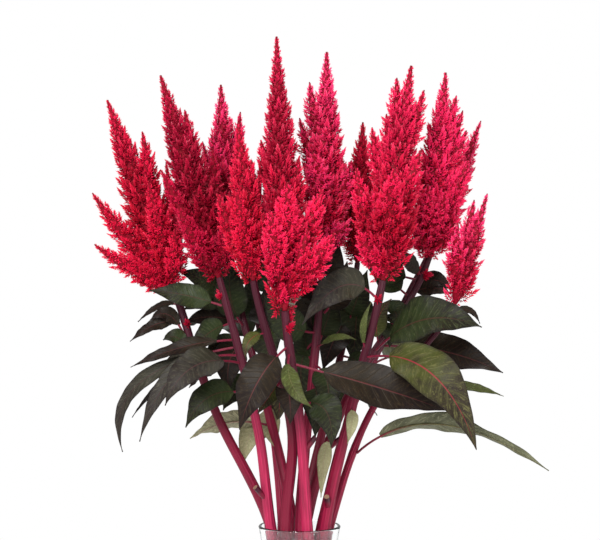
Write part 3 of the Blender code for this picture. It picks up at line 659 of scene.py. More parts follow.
def stem_route(plant, steps=30):
    """From the vase's floor in a straight line to the lip, then in easy bends up to the plume."""
    ring = STEM_RING if plant.ring == "outer" else STEM_CORE
    twist = STEM_TWIST_DEGREES if plant.ring == "outer" else 0
    low = plan_point(ring, plant.turn + twist, STEM_FOOT)
    lip = plan_point(ring, plant.turn, VASE_HEIGHT)
    top = Vector(plant.base) * MM
    knots = [lip, Vector(plant.waist) * MM, top] if plant.waist else [lip, top]
    axis = (Vector(plant.tip) * MM - top).normalized()
    headings = [(top - lip).normalized() for _ in knots]
    headings[0] = (lip - low).normalized().lerp((knots[1] - lip).normalized(), LEAVE_STRAIGHT)
    headings[-1] = axis.lerp((top - knots[-2]).normalized(), ARRIVE_STRAIGHT)
    points = [low.lerp(lip, step / STRAIGHT_STEPS) for step in range(STRAIGHT_STEPS)] + [lip]
    pairs = list(zip(knots, knots[1:], headings, headings[1:]))
    for start, end, leave, arrive in pairs:
        span = (end - start).length
        for step in range(1, steps // len(pairs) + 1):
            t = step * len(pairs) / steps
            points.append(
                (2 * t**3 - 3 * t**2 + 1) * start
                + (t**3 - 2 * t**2 + t) * span * leave
                + (3 * t**2 - 2 * t**3) * end
                + (t**3 - t**2) * span * arrive
            )
    return points


def stem_radius(plant, height):
    """Stems are even in the vase and thin towards the plume."""
    share = min(max((height - VASE_HEIGHT) / STEM_TAPER_HEIGHT, 0), 1)
    return plant.girth * (STEM_RADIUS + (STEM_TOP_RADIUS - STEM_RADIUS) * share)


def route_at(points, height):
    """The point of a stem's centre line at one height, and the stem's direction there."""
    for low, high in zip(points, points[1:]):
        if low.z <= height <= high.z:
            share = (height - low.z) / (high.z - low.z)
            return low.lerp(high, share), (high - low).normalized()
    raise ValueError(f"no stem at height {height}")


def rolled(name, columns, rows, surface, closed):
    """A grid bent to a surface of (across, along), each from 0 to 1. A closed one becomes a tube with
    welded edges and capped ends."""
    deselect_all()
    bpy.ops.mesh.primitive_grid_add(x_subdivisions=columns, y_subdivisions=rows, size=1)
    made = bpy.context.object
    made.name = name
    for vert in made.data.vertices:
        vert.co = surface(vert.co.x + 0.5, vert.co.y + 0.5)
    if closed:
        bpy.ops.object.mode_set(mode="EDIT")
        bpy.ops.mesh.select_all(action="SELECT")
        bpy.ops.mesh.remove_doubles(threshold=0.01 * MM)
        bpy.ops.mesh.fill_holes(sides=0)
        bpy.ops.mesh.normals_make_consistent(inside=False)
        bpy.ops.object.mode_set(mode="OBJECT")
    return made


def joined(pieces):
    """Several mesh objects as one."""
    deselect_all()
    for piece in pieces:
        piece.select_set(True)
    bpy.context.view_layer.objects.active = pieces[0]
    if len(pieces) > 1:
        bpy.ops.object.join()
    return bpy.context.view_layer.objects.active


def tube(name, points, radius_at, sides, ripple=None):
    """A tube along points, with a radius at each share of its length and ripples round it."""
    points = [Vector(point) for point in points]
    frames = []
    across = None
    for index, point in enumerate(points):
        along = (points[min(index + 1, len(points) - 1)] - points[max(index - 1, 0)]).normalized()
        guide = across if across else Vector((0, 1, 0)) if abs(along.y) < 0.9 else Vector((1, 0, 0))
        across = (guide - along * guide.dot(along)).normalized()
        frames.append((point, across, along.cross(across)))
    rows = len(points) - 1

    def surface(u, v):
        point, right, back = frames[round(v * rows)]
        turn = u * math.tau
        reach = radius_at(v) + (ripple(turn, v) if ripple else 0)
        return point + (right * math.cos(turn) + back * math.sin(turn)) * reach

    return rolled(name, sides, rows, surface, True)


def spike_path(foot, tip, bulge):
    """A spike's centre line: one quadratic bend that leaves its foot outwards."""
    middle = (foot + tip) / 2 + bulge
    return lambda u: quadratic(foot, middle, tip, u)


def fullness_at(u, foot, fullest, tip):
    """A spike's radius at a share of its length: quickly full, then a long taper to the tip."""
    if u < fullest:
        return foot + (1 - foot) * smooth_step(u / fullest)
    return tip + (1 - tip) * (1 - ((u - fullest) / (1 - fullest)) ** FULLNESS_POWER)


def spikes_of(plant):
    """Every spike of a plume as (centre line, fullness, radius), the main one first."""
    foot, tip = Vector(plant.base) * MM, Vector(plant.tip) * MM
    axis = (tip - foot).normalized()
    main = spike_path(foot, tip, Vector((0, 0, 0)))
    found = [(main, MAIN_FULLNESS, plant.radius * MM)]
    for side in plant.sides:
        root = main(side.share + SIDE_ROOT_DEPTH)
        end = Vector(side.tip) * MM
        away = end - root
        outward = away - axis * away.dot(axis)
        found.append((spike_path(root, end, outward * SIDE_BULGE), SIDE_FULLNESS, side.radius * MM))
    return found


def core_samples(spike):
    """Points along a spike with its radius at each, which stand for its body."""
    path, fullness, radius = spike
    shares = [(i + 0.5) / SPIKE_SAMPLES for i in range(SPIKE_SAMPLES)]
    return np.array([(*path(u), fullness_at(u, *fullness) * radius) for u in shares])


def nearest(points, samples):
    """For each point, its distance to the sampled bodies' surface, and the nearest sample."""
    apart = points[:, None, :] - samples[None, :, :3]
    gaps = np.linalg.norm(apart, axis=2) - samples[None, :, 3]
    index = gaps.argmin(axis=1)
    return gaps[np.arange(len(points)), index], samples[index, :3]


def pressed(points, own, others, rounds=6):
    """Tufts give way where plumes touch, each up to the line between them."""
    for _ in range(rounds):
        own_gap, centre = nearest(points, own)
        other_gap, _ = nearest(points, others)
        excess = np.maximum((own_gap - other_gap) / 2 + PRESS_CLEARANCE, 0)
        inward = centre - points
        depth = np.maximum(np.linalg.norm(inward, axis=1), 1e-6)
        points = points + inward / depth[:, None] * np.minimum(excess, depth)[:, None]
    return points


def floret_mesh(length, width):
    """One floret: a slim pointed bud with three sides."""
    deselect_all()
    bpy.ops.mesh.primitive_cone_add(vertices=3, radius1=width / 2, depth=length, location=(0, 0, length / 2))
    bpy.ops.object.transform_apply(location=True)
    made = bpy.context.object
    verts, faces = mesh_arrays(made.data)
    bpy.data.objects.remove(made)
    return verts, faces


def mesh_arrays(data):
    """The corners and the triangles of a mesh."""
    data.calc_loop_triangles()
    verts = np.empty(len(data.vertices) * 3)
    data.vertices.foreach_get("co", verts)
    faces = np.empty(len(data.loop_triangles) * 3, int)
    data.loop_triangles.foreach_get("vertices", faces)
    return verts.reshape(-1, 3), faces.reshape(-1, 3)


def unit(vectors):
    return vectors / np.linalg.norm(vectors, axis=1, keepdims=True)


def turn_to(directions, spins):
    """For each direction a matrix that turns +Z to it, after a spin about +Z."""
    along = unit(directions)
    guide = np.where(np.abs(along[:, 1:2]) < 0.9, [[0, 1, 0]], [[1, 0, 0]])
    right = unit(np.cross(guide, along))
    back = np.cross(along, right)
    cos, sin = np.cos(spins)[:, None], np.sin(spins)[:, None]
    return np.stack([right * cos + back * sin, back * cos - right * sin, along], axis=2)


def tuft_template(rng, settings, count, length, girth):
    """A pointed tuft of florets along +Z as (corners, triangles, reach of each corner, floret number)."""
    verts, faces = floret_mesh(settings.floret_length, settings.floret_width)
    shares = np.linspace(0.0, 1.0, count)
    turns = np.arange(count) * GOLDEN_ANGLE + rng.uniform(-0.6, 0.6, count)
    lean = np.radians(66 - 60 * shares**1.6) * rng.uniform(0.7, 1.25, count)
    out = np.stack([np.cos(turns), np.sin(turns), np.zeros(count)], axis=1)
    heading = out * np.sin(lean)[:, None] + [0, 0, 1] * np.cos(lean)[:, None]
    body = length - settings.floret_length
    roots = [0, 0, 1] * (body * shares**0.9)[:, None] + out * (girth * (1 - shares))[:, None]
    sizes = rng.uniform(0.75, 1.25, count) * (1.05 - 0.2 * shares)
    matrices = turn_to(heading, rng.uniform(0, math.tau, count)) * sizes[:, None, None]
    corners = np.einsum("nij,vj->nvi", matrices, verts) + roots[:, None, :]
    triangles = faces[None] + (np.arange(count) * len(verts))[:, None, None]
    reach = np.tile(verts[:, 2] / settings.floret_length, count) * 0.55
    reach += np.repeat(0.45 * shares, len(verts))
    numbers = np.repeat(np.arange(count), len(verts))
    return corners.reshape(-1, 3), triangles.reshape(-1, 3), reach, numbers


def templates_of(rng, settings):
    """A few tufts and a few twigs, of which every plume's are copies."""
    return [
        [tuft_template(rng, settings, florets, length, girth) for _ in range(kinds)]
        for kinds, florets, length, girth in (
            (TUFT_KINDS, settings.florets, settings.tuft_length, TUFT_GIRTH),
            (TWIG_KINDS, settings.twig_florets, settings.twig_length, TWIG_GIRTH),
        )
    ]


def sampled(shares, grain, values):
    """Numbers or points known along a line, read at other shares of its length."""
    if values.ndim == 1:
        return np.interp(shares, grain, values)
    return np.stack([np.interp(shares, grain, column) for column in values.T], axis=1)


def spike_skin(spike, rng, spacing, span, number, proud):
    """Places spread evenly over a spike's skin, closer at its tip, and the lines that they are read from."""
    path, fullness, radius = spike
    grain = np.linspace(0, 1, SKIN_SAMPLES)
    line = np.array([path(u) for u in grain])
    body = np.array([fullness_at(u, *fullness) * radius for u in grain])
    outside = body + proud * np.minimum(body / radius, 1)
    steps = np.linalg.norm(np.diff(line, axis=0), axis=1)
    density = np.interp(grain, [0, 0.6, 1], [1, 1, 2.2]) * ((grain >= span[0]) & (grain <= span[1]))
    area = np.concatenate([[0], np.cumsum(steps * (outside * density)[1:] * math.tau)])
    count = max(3, round(area[-1] / spacing**2))
    order = (np.arange(count) + rng.uniform(0.2, 0.8, count)) / count * area[-1]
    shares = np.interp(order, area, grain)
    along = unit(sampled(shares, grain, np.gradient(line, axis=0)))
    right = unit(np.cross(along, [0, 1, 0]))
    turns = np.arange(count) * GOLDEN_ANGLE + number
    out = right * np.cos(turns)[:, None] + np.cross(along, right) * np.sin(turns)[:, None]
    return Skin(shares, sampled(shares, grain, line), along, out, grain, line, body, outside)


def tuft_places(spike, rng, settings, number):
    """Roots and tips of the tufts of one spike: level at its foot, upright towards its tip."""
    skin = spike_skin(spike, rng, settings.tuft_spacing, TUFT_SPAN, number, settings.proud)
    count = len(skin.shares)
    depth = sampled(skin.shares, skin.grain, skin.body) * TUFT_ROOT
    lean = np.radians(np.interp(skin.shares, [0, 0.05, 0.2, 0.6, 1], [115, 85, 52, 38, 22]))
    lean *= rng.uniform(0.8, 1.2, count)
    heading = skin.out * np.sin(lean)[:, None] + skin.along * np.cos(lean)[:, None]
    span = sampled(skin.shares, skin.grain, skin.outside) * rng.uniform(0.8, 1.1, count) - depth
    lengths = np.minimum(span / np.maximum(np.sin(lean), 0.5), settings.tuft_length * TUFT_STRETCH)
    reach = heading * lengths[:, None]
    end = skin.line[-1]
    left = np.maximum(((end - skin.centres) * skin.along).sum(axis=1), 1 * MM)
    rise = np.maximum(lengths * np.cos(lean), 0.1 * MM)
    tips = skin.centres + skin.out * depth[:, None] + reach
    tips -= skin.along * np.maximum(rise - left, 0)[:, None]
    crown = end - skin.along[-1] * CROWN_DEPTH
    return np.vstack([tips - reach, crown]), np.vstack([tips, end])


def twig_places(spike, rng, settings, number):
    """Roots and tips of the pointed twigs that stand out of one spike, steeply upwards."""
    skin = spike_skin(spike, rng, settings.twig_spacing, TWIG_SPAN, number + 0.5, settings.proud)
    count = len(skin.shares)
    length = np.linalg.norm(np.diff(skin.line, axis=0), axis=1).sum()
    share = np.interp(spike[2], [8 * MM, 18 * MM], [0.6, 1])
    sizes = settings.twig_length * rng.uniform(0.65, 1.1, count) * share
    sizes *= np.interp(skin.shares, [0.45, 0.75], [1.0, 0.6])
    ends = np.minimum(skin.shares + sizes / length, 1)
    proud = TWIG_PROUD * np.interp(skin.shares, [0.45, 0.75], [1.0, 0.5])
    reach = sampled(ends, skin.grain, skin.outside) + rng.uniform(0.5, 1.0, count) * proud
    depth = sampled(skin.shares, skin.grain, skin.body) * TWIG_ROOT
    roots = skin.centres + skin.out * depth[:, None]
    return roots, sampled(ends, skin.grain, skin.line) + skin.out * reach[:, None]


def add_marks(data, marks):
    """Each corner's marks, which the finishes read."""
    for key, values in marks.items():
        layer = data.attributes.new(key, "FLOAT", "POINT")
        layer.data.foreach_set("value", np.full(len(data.vertices), values, np.float32))


def mesh_of(name, corners, triangles):
    data = bpy.data.meshes.new(name)
    data.from_pydata(corners, [], triangles)
    made = bpy.data.objects.new(name, data)
    bpy.context.scene.collection.objects.link(made)
    return made


def scattered(name, crowds, rng):
    """Copies of the tufts from their roots to their tips, in one mesh."""
    corners, triangles = [], []
    marks = {key: [] for key in CORE_MARKS}
    start = 0
    for crowd in crowds:
        reach = crowd.tips - crowd.roots
        lengths = np.linalg.norm(reach, axis=1)
        scale = np.clip(lengths / crowd.length, 0.35, 1.15)
        matrices = turn_to(reach, rng.uniform(0, math.tau, len(crowd.roots)))
        widths = np.clip(scale, 0.45, 1.0)
        matrices = matrices * np.stack([widths, widths, scale], axis=1)[:, None, :]
        kinds = rng.integers(0, len(crowd.templates), len(crowd.roots))
        for kind, (verts, faces, tip_share, numbers) in enumerate(crowd.templates):
            chosen = np.flatnonzero(kinds == kind)
            placed = np.einsum("nij,vj->nvi", matrices[chosen], verts)
            foot = crowd.tips[chosen] - matrices[chosen][:, :, 2] * crowd.length
            placed += foot[:, None, :]
            corners.append(placed.reshape(-1, 3))
            offset = start + np.arange(len(chosen)) * len(verts)
            triangles.append((faces[None] + offset[:, None, None]).reshape(-1, 3))
            start += len(chosen) * len(verts)
            tuft_chance = rng.uniform(0, 1, (len(chosen), 1))
            floret_chance = rng.uniform(0, 1, (len(chosen), numbers.max() + 1))
            marks["reach"].append(np.tile(tip_share, len(chosen)))
            marks["chance"].append((0.5 * tuft_chance + 0.5 * floret_chance[:, numbers]).ravel())
            for key, values in crowd.marks.items():
                marks[key].append(np.repeat(values[chosen], len(verts)))
    made = mesh_of(name, np.concatenate(corners), np.concatenate(triangles))
    add_marks(made.data, {key: np.concatenate(values) for key, values in marks.items()})
    return made


def crowd_on(own, bodies, others, places, tones, rng, settings):
    """Roots, tips and tones of the tufts or the twigs of a plume: those inside its other spikes are left
    out, and the rest give way to the plumes beside it."""
    found = []
    for index, spike in enumerate(own):
        roots, tips = places(spike, rng, settings, index)
        rest = np.concatenate([body for i, body in enumerate(bodies) if i != index])
        free = nearest(tips, rest)[0] > BURIED
        roots, tips = roots[free], tips[free]
        shift = pressed(tips, bodies[index], others) - tips
        near_end = 1 - np.linalg.norm(tips - spike[0](1), axis=1) / SPIKE_END
        tone = tones[index] + rng.uniform(-TUFT_CHANCE_TONE, TUFT_CHANCE_TONE, len(tips))
        tone += END_TONE * np.clip(near_end, 0, 1)
        found.append((roots + shift * ROOT_SHIFT, tips + shift, tone))
    return [np.concatenate(values) for values in zip(*found)]


def core(name, spike):
    """The dark body of one spike under its florets, darkened with the painted shade of the hollows."""
    path, fullness, radius = spike

    def radius_at(v):
        foot = smooth_step(min(1, CORE_FOOT + v / CORE_SWELL))
        return max(CORE_SHARE * radius * fullness_at(v, *fullness) * foot, CORE_LEAST)

    made = tube(name, [path(step / CORE_STEPS) for step in range(CORE_STEPS + 1)], radius_at, CORE_SIDES)
    add_marks(made.data, CORE_MARKS)
    return made


def plume(number, rng, templates, settings, finish):
    """All the tufts and twigs of one plant's plume round slim cores, darkened with painted shade."""
    plant = PLANTS[number]
    own = spikes_of(plant._replace(sides=plant.sides + CLOSE_SIDES.get(number, [])))
    bodies = [core_samples(spike) for spike in own]
    others = np.concatenate([core_samples(s) for p in PLANTS if p is not plant for s in spikes_of(p)])
    low, high = plant.base[2] * MM, plant.tip[2] * MM
    tones = []
    for body in bodies:
        # Painted light on the spikes that stand to the front of the plume, painted shade on those behind
        ahead = np.clip((plant.base[1] * MM - body[:, 1].mean()) / TONE_DEPTH, -1, 1)
        tones.append(MIDDLE_TONE + FRONT_LIGHT_TONE * ahead + rng.uniform(-CHANCE_TONE, CHANCE_TONE))
    crowds = []
    for places, kinds, length, lift in (
        (tuft_places, templates[0], settings.tuft_length, TUFT_SHADE_TONE),
        (twig_places, templates[1], settings.twig_length, TWIG_LIGHT_TONE),
    ):
        lifted = [tone + lift for tone in tones]
        roots, tips, tone = crowd_on(own, bodies, others, places, lifted, rng, settings)
        rise = np.clip((tips[:, 2] - low) / (high - low), 0, 1)
        crowds.append(Crowd(kinds, length, roots, tips, {"rise": rise, "tone": tone}))
    name = f"plume_{number + 1:02d}"
    made = scattered(f"{name}_florets", crowds, rng)
    cores = [core(f"{name}_core_{index}", spike) for index, spike in enumerate(own)]
    return kept(joined([made, *cores]), f"{name}_florets", [name], [finish])


def scaled(colour, share):
    """A darker or a lighter colour."""
    return [min(1, channel * share) for channel in colour]


def floret_finish(kind):
    """Red tepals: darkened with painted shade in the hollows, with painted light at the tips and painted
    glints, pinker towards the plume's top.
    """
    body, top, lit = FLORET_COLOURS[kind]
    finish = Finish(f"floret_{kind}")
    reach, chance, rise, tone = (finish.attribute(name) for name in CORE_MARKS)
    patches = finish.noise(finish.place(), 45.0).between(0.35, 0.65)
    colour = finish.mix(rise.between(0.3, 1.0), body, top)
    # A high tone lightens and a low tone darkens the florets: partly at random, partly painted light on the
    # front spikes and the twigs and painted shade on the spikes behind and the tufts between the twigs, and
    # lighter towards each spike's end
    colour = finish.mix(tone.between(0.5, 1.0) * 0.6, colour, scaled(top, 1.35))
    colour = finish.mix((1 - tone.between(0.0, 0.55)) * 0.8, colour, scaled(body, 0.38))
    colour = finish.mix(patches * 0.35, colour, scaled(body, 0.7))
    colour = finish.mix(reach.between(0.4, 1.0) * (chance * 0.6 + 0.05), colour, lit)
    # Painted glints: a few floret tips are lightened to a pale pink
    colour = finish.mix(reach.between(0.6, 1.0) * chance.between(0.68, 0.95) * 0.6, colour, PAINTED_GLINT_COLOUR)
    # Painted shade: the florets' feet and the cores darken to the hollow colour, less so on tufts of high
    # tone
    depth = (reach + tone.between(0.75, 1.1) * 0.4).between(0.0, 0.5)
    colour = finish.mix(depth, HOLLOW_SHADE_COLOUR, colour)
    finish.set(Base_Color=colour, Roughness=0.55 - chance * 0.15, Specular_IOR_Level=0.08)
    return finish.material


def blade_half_width(t, width):
    """A stalk, then a long oval blade drawn out into a fine tip."""
    if t <= STALK_SHARE:
        return STALK_HALF_WIDTH
    s = (t - STALK_SHARE) / (1 - STALK_SHARE)
    shape = BLADE_FULLNESS * s**FOOT_POWER * (1 - s) ** TIP_POWER
    shape += MIDDLE_FULLNESS * math.sin(math.pi * s)
    return max(TIP_HALF_WIDTH, shape * width / 2)


def leaf_root(leaf, route, clearance):
    """The start of a leaf's stalk, whose nearest corner is at a distance from its stem's surface."""
    centre, along = route_at(route, leaf.height * MM)
    stalk = (Vector(leaf.bend) * MM - centre).normalized()
    out = (stalk - along * stalk.dot(along)).normalized()
    side = stalk.cross(Vector(leaf.face)).normalized()
    corner = STALK_HALF_WIDTH * abs(side.dot(out))
    reach = stem_radius(PLANTS[leaf.plant], centre.z) + corner + clearance
    return centre + out * reach


def leaf(name, data, route, small, light, node, finishes, settings):
    """A blade with its side veins raised between low and high stripes, and its round stalk. A small leaf
    is rooted inside its stem, and a light one has fewer faces."""
    root = leaf_root(data, route, STALK_SINK if small else STALK_GAP)
    bend, tip = Vector(data.bend) * MM, Vector(data.tip) * MM
    facing = Vector(data.face).normalized()
    width, wave = data.width * MM, data.wave * MM
    start = STALK_SHARE * 0.98
    veins = SMALL_VEINS if small else settings.veins

    def frame_of(t):
        place = quadratic(root, bend, tip, t)
        along = ((1 - t) * (bend - root) + t * (tip - bend)).normalized()
        side = along.cross(facing).normalized()
        return place, side, side.cross(along)

    def surface(u, v):
        t = start + (1 - start) * v
        across = 2 * u - 1
        place, side, upper = frame_of(t)
        half = blade_half_width(t, width)
        span = abs(across)
        ruffle = wave * math.sin(t * WAVES + data.height) * math.sin(math.pi * t) ** 0.5
        ruffle *= 1 if across > 0 else -WAVE_IMBALANCE
        fine = FINE_WAVE * math.sin(t * WAVES * 3.1 + data.height * 2 + across) * span**2
        phase = (v * veins * VEIN_RUN - span * VEIN_SLANT) % 1
        quilt = (abs(2 * phase - 1) - 0.5) * QUILT_DEPTH * min(1, half / (8 * MM))
        quilt = quilt * span**0.5 * (1 - span**4)
        lift = span**1.35 * (half * FOLD + ruffle) + fine - quilt
        return place + side * half * across + upper * lift

    rows, columns = LIGHT_GRID if light else FULL_GRID
    blade = rolled(name, columns, rows, surface, False)
    shell = blade.modifiers.new("thickness", "SOLIDIFY")
    shell.thickness = settings.thickness
    shell.offset = 0
    shell.material_offset = 1
    shell.material_offset_rim = 0
    bpy.context.view_layer.objects.active = blade
    add_finishes(blade, finishes)
    bpy.ops.object.modifier_apply(modifier="thickness")

    def stalk_point(t):
        place, _, upper = frame_of(t)
        sink = 0.35 * MM + 0.4 * settings.stalk_radius
        return place - upper * sink * min(1, t / STALK_SHARE) ** 2

    def stalk_radius_at(v):
        thick = settings.stalk_radius * (SMALL_STALK if small else 1.0)
        return max(thick * (1 - v) ** 0.8, STALK_LEAST)

    points = [stalk_point(STALK_END * step / STALK_STEPS) for step in range(STALK_STEPS + 1)]
    stalk = tube(f"{name}_stalk", points, stalk_radius_at, STALK_SIDES)
    add_finishes(stalk, finishes)
    for face in stalk.data.polygons:
        face.material_index = STALK_SLOT
    made = joined([blade, stalk])
    bpy.ops.object.shade_smooth_by_angle(angle=math.radians(50))
    return kept(made, name, [node], [])


def leaf_finish(kind, settings, under):
    """A veined blade: the upper side darkens to its tip and its edge, the underside is paler, and painted
    sheen lightens it along the side veins and in streaks.
    """
    foot, tip, vein, below, rib = LEAF_COLOURS[kind]
    finish = Finish(f"leaf_{kind}_{'under' if under else 'upper'}")
    u, v = finish.uv()
    span = (u * 2 - 1).math("ABSOLUTE")
    place = finish.place()
    clouds = finish.noise(place, 55.0, 4.0)
    run = v * (settings.veins * VEIN_RUN) - span * VEIN_SLANT + clouds * 0.5
    phase = run.math("FRACT")
    # Painted highlights: streaks of sheen that run along the side veins
    flow = finish.node("CombineXYZ", {0: run * 5.0, 1: span * 2.5, 2: clouds * 2.0})
    streaks = finish.noise(flow, 1.0, 3.0)
    side_vein = 1 - (phase - 0.5).math("ABSOLUTE").between(0.0, 0.07)
    vein_sheen = 1 - (phase - 0.5).math("ABSOLUTE").between(0.05, 0.45)
    middle = 1 - span.between(0.01, 0.05)
    cells = finish.noise(place, 1300.0, 3.0)
    specks = finish.noise(place, 420.0, 2.0)
    if under:
        colour = finish.mix(clouds.between(0.35, 0.65), below, scaled(below, 0.6))
        veined = scaled(below, 1.8)
    else:
        colour = finish.mix((v + clouds * 0.8).between(0.6, 1.15), foot, tip)
        colour = finish.mix(clouds.between(0.5, 0.68) * 0.65, colour, scaled(tip, 0.5))
        veined = vein
    # Painted highlight: a lighter band along every side vein
    colour = finish.mix(vein_sheen * (1 - span * 0.7) * 0.3, colour, scaled(veined, 0.8))
    colour = finish.mix(cells.between(0.4, 0.7) * 0.3, colour, scaled(foot, 1.7))
    colour = finish.mix(specks.between(0.62, 0.72) * 0.5, colour, scaled(veined, 1.2))
    painted_sheen = streaks.between(0.52, 0.72) * span.between(0.05, 0.4) * 0.6
    colour = finish.mix(painted_sheen, colour, scaled(veined, 1.5))
    colour = finish.mix(span.between(0.82, 1.0) * 0.5, colour, scaled(tip, 0.6))
    colour = finish.mix(side_vein * (1 - span.between(0.6, 1.0)) * 0.6, colour, veined)
    colour = finish.mix(middle * (1 - v * 0.5), colour, veined if under else rib)
    relief = side_vein * 0.6 + cells * 0.45 + middle * 0.5 + specks * 0.3 + streaks * 0.6
    finish.bump(relief, 0.3 * MM, 0.9 if under else 0.75)
    finish.set(Base_Color=colour, Roughness=0.4 + clouds * 0.2, Specular_IOR_Level=0.14)
    return finish.material


def stalk_finish(kind, settings):
    """A crimson leaf stalk that takes the blade's own midrib colour as it runs up the blade."""
    rib = LEAF_COLOURS[kind][4]
    finish = Finish(f"stalk_{kind}")
    _, v = finish.uv()
    spots = finish.noise(finish.place(), 240.0, 2.0)
    colour = finish.mix(v.between(0.12, 0.4), settings.stalk_colour, rib)
    colour = finish.mix(spots.between(0.45, 0.7) * 0.5, colour, SPOT_COLOUR)
    finish.bump(spots, 0.15 * MM, 0.5)
    finish.set(Base_Color=colour, Roughness=0.45, Specular_IOR_Level=0.2)
    return finish.material


def stem_finish(settings):
    """Crimson skin with lighter lengthwise ridges, and painted shade that darkens it towards the plume."""
    finish = Finish("stem_skin")
    u, v = finish.uv()
    fine = finish.node("CombineXYZ", {0: u * 26, 1: v * 7})
    streaks = finish.noise(fine, 1.0, 4.0)
    ridge = ((u * (math.tau * STEM_RIDGES)).math("COSINE") * 0.5 + 0.5) ** 2
    blotch = finish.noise(finish.place(), 38.0, 3.0)
    tone = finish.attribute("tone")
    dark = scaled(settings.colour, 0.42)
    colour = finish.mix(streaks.between(0.3, 0.7), dark, settings.colour)
    colour = finish.mix(ridge * streaks.between(0.35, 0.75) * 0.75, colour, settings.streaks)
    colour = finish.mix(blotch.between(0.55, 0.75) * 0.5, colour, dark)
    colour = finish.mix(tone.between(0.7, 1.0) * 0.3, colour, settings.streaks)
    colour = finish.mix((1 - tone).between(0.0, 0.75), colour, dark)
    # Painted shade: the stems darken towards the plume, in the shade of the bunch
    colour = finish.mix((v + blotch * 0.1).between(0.54, 0.86) * 0.92, colour, STEM_SHADE_COLOUR)
    finish.bump(streaks + ridge * 0.3, 0.3 * MM, 0.7)
    finish.set(Base_Color=colour, Roughness=0.38 + streaks * 0.2, Specular_IOR_Level=0.25)
    return finish.material


def cut_finish():
    """The dry cut end of a side shoot."""
    finish = Finish("stem_cut")
    rings = finish.noise(finish.place(), 700.0, 3.0)
    colour = finish.mix(rings, *CUT_COLOURS)
    finish.bump(rings, 0.3 * MM, 0.8)
    finish.set(Base_Color=colour, Roughness=0.85)
    return finish.material


def stem(number, settings, finishes):
    """A ridged stem, a little swollen where each leaf leaves it, with its cut side shoots."""
    plant = PLANTS[number]
    route = stem_route(plant)
    heights = [item.height * MM for item in LEAVES + SMALL_LEAVES if item.plant == number]
    rows = len(route) - 1

    def radius_at(v):
        height = route[round(v * rows)].z
        swell = sum(math.exp(-(((height - joint) / JOINT_REACH) ** 2)) for joint in heights)
        return stem_radius(plant, height) - settings.ridge_depth / 2 + JOINT_SWELL * min(swell, 1)

    def ripple(turn, v):
        wander = 0.25 * math.sin(v * 9 + number)
        return settings.ridge_depth * (abs(math.cos((turn + wander) * STEM_RIDGES / 2)) - 0.5)

    name = f"stem_{number + 1:02d}"
    skin = tube(f"{name}_skin", route, radius_at, STEM_SIDES, ripple)
    add_marks(skin.data, {"tone": settings.tones[number % len(settings.tones)]})
    add_finishes(skin, finishes)
    shoots = [
        stub(route, height * MM, heading, finishes) for owner, height, heading in STUBS if owner == number
    ]
    made = joined([skin, *shoots])
    bpy.ops.object.shade_smooth_by_angle(angle=math.radians(60))
    return kept(made, f"{name}_skin", [name], [])


def stub(route, height, heading, finishes):
    """The short foot of a side shoot, cut off square."""
    place, along = route_at(route, height)
    lean = (plan_point(1, heading, 0) + along * STUB_RISE).normalized()
    points = [place + lean * STUB_LENGTH * i / 10 for i in range(11)]
    made = tube("stub", points, lambda v: STUB_RADIUS - STUB_TAPER * v, 24, stub_ripple)
    add_finishes(made, finishes)
    for face in made.data.polygons:
        if face.normal.dot(lean) > 0.8:
            face.material_index = 1
    return made


def stub_ripple(turn, _):
    return 0.12 * MM * math.cos(turn * 7)


def vase_outline(steps=14):
    """The outer side of the glass, from under the lip down to the foot's edge, as (radius, height)."""
    points = []
    for step in range(1, steps + 1):
        share = step / steps
        radius = LIP_RADIUS + (NECK_RADIUS - LIP_RADIUS) * math.sin(share * math.pi / 2)
        points.append((radius, VASE_HEIGHT + (NECK_HEIGHT - VASE_HEIGHT) * share))
    for step in range(1, steps + 1):
        share = step / steps
        radius = NECK_RADIUS + (BELLY_RADIUS - NECK_RADIUS) * smooth_step(share)
        points.append((radius, NECK_HEIGHT + (BELLY_HEIGHT - NECK_HEIGHT) * share))
    for step in range(1, steps):
        bend = step / steps * math.pi / 2
        radius = FOOT_RADIUS + (BELLY_RADIUS - FOOT_RADIUS) * math.cos(bend)
        points.append((radius, BELLY_HEIGHT * (1 - math.sin(bend))))
    return points


def turned(name, profile, steps):
    """A profile of (radius, height) spun round the vase's axis into a closed body."""
    deselect_all()
    data = bpy.data.meshes.new(name)
    verts = [(radius, 0, height) for radius, height in profile]
    data.from_pydata(verts, [(i, i + 1) for i in range(len(verts) - 1)], [])
    made = bpy.data.objects.new(name, data)
    bpy.context.scene.collection.objects.link(made)
    bpy.context.view_layer.objects.active = made
    made.select_set(True)
    bpy.ops.object.mode_set(mode="EDIT")
    bpy.ops.mesh.select_all(action="SELECT")
    bpy.ops.mesh.spin(steps=steps, angle=math.tau, center=(0, 0, 0), axis=(0, 0, 1))
    bpy.ops.mesh.select_all(action="SELECT")
    bpy.ops.mesh.remove_doubles(threshold=0.01 * MM)
    bpy.ops.mesh.normals_make_consistent(inside=False)
    bpy.ops.object.mode_set(mode="OBJECT")
    bpy.ops.object.shade_smooth_by_angle(angle=math.radians(50))
    return made


def round_corner(centre, radius, start, end, steps=6):
    """Points of an arc in the profile, angles in degrees."""
    angles = [math.radians(start + (end - start) * i / steps) for i in range(steps + 1)]
    return [(centre[0] + radius * math.cos(a), centre[1] + radius * math.sin(a)) for a in angles]


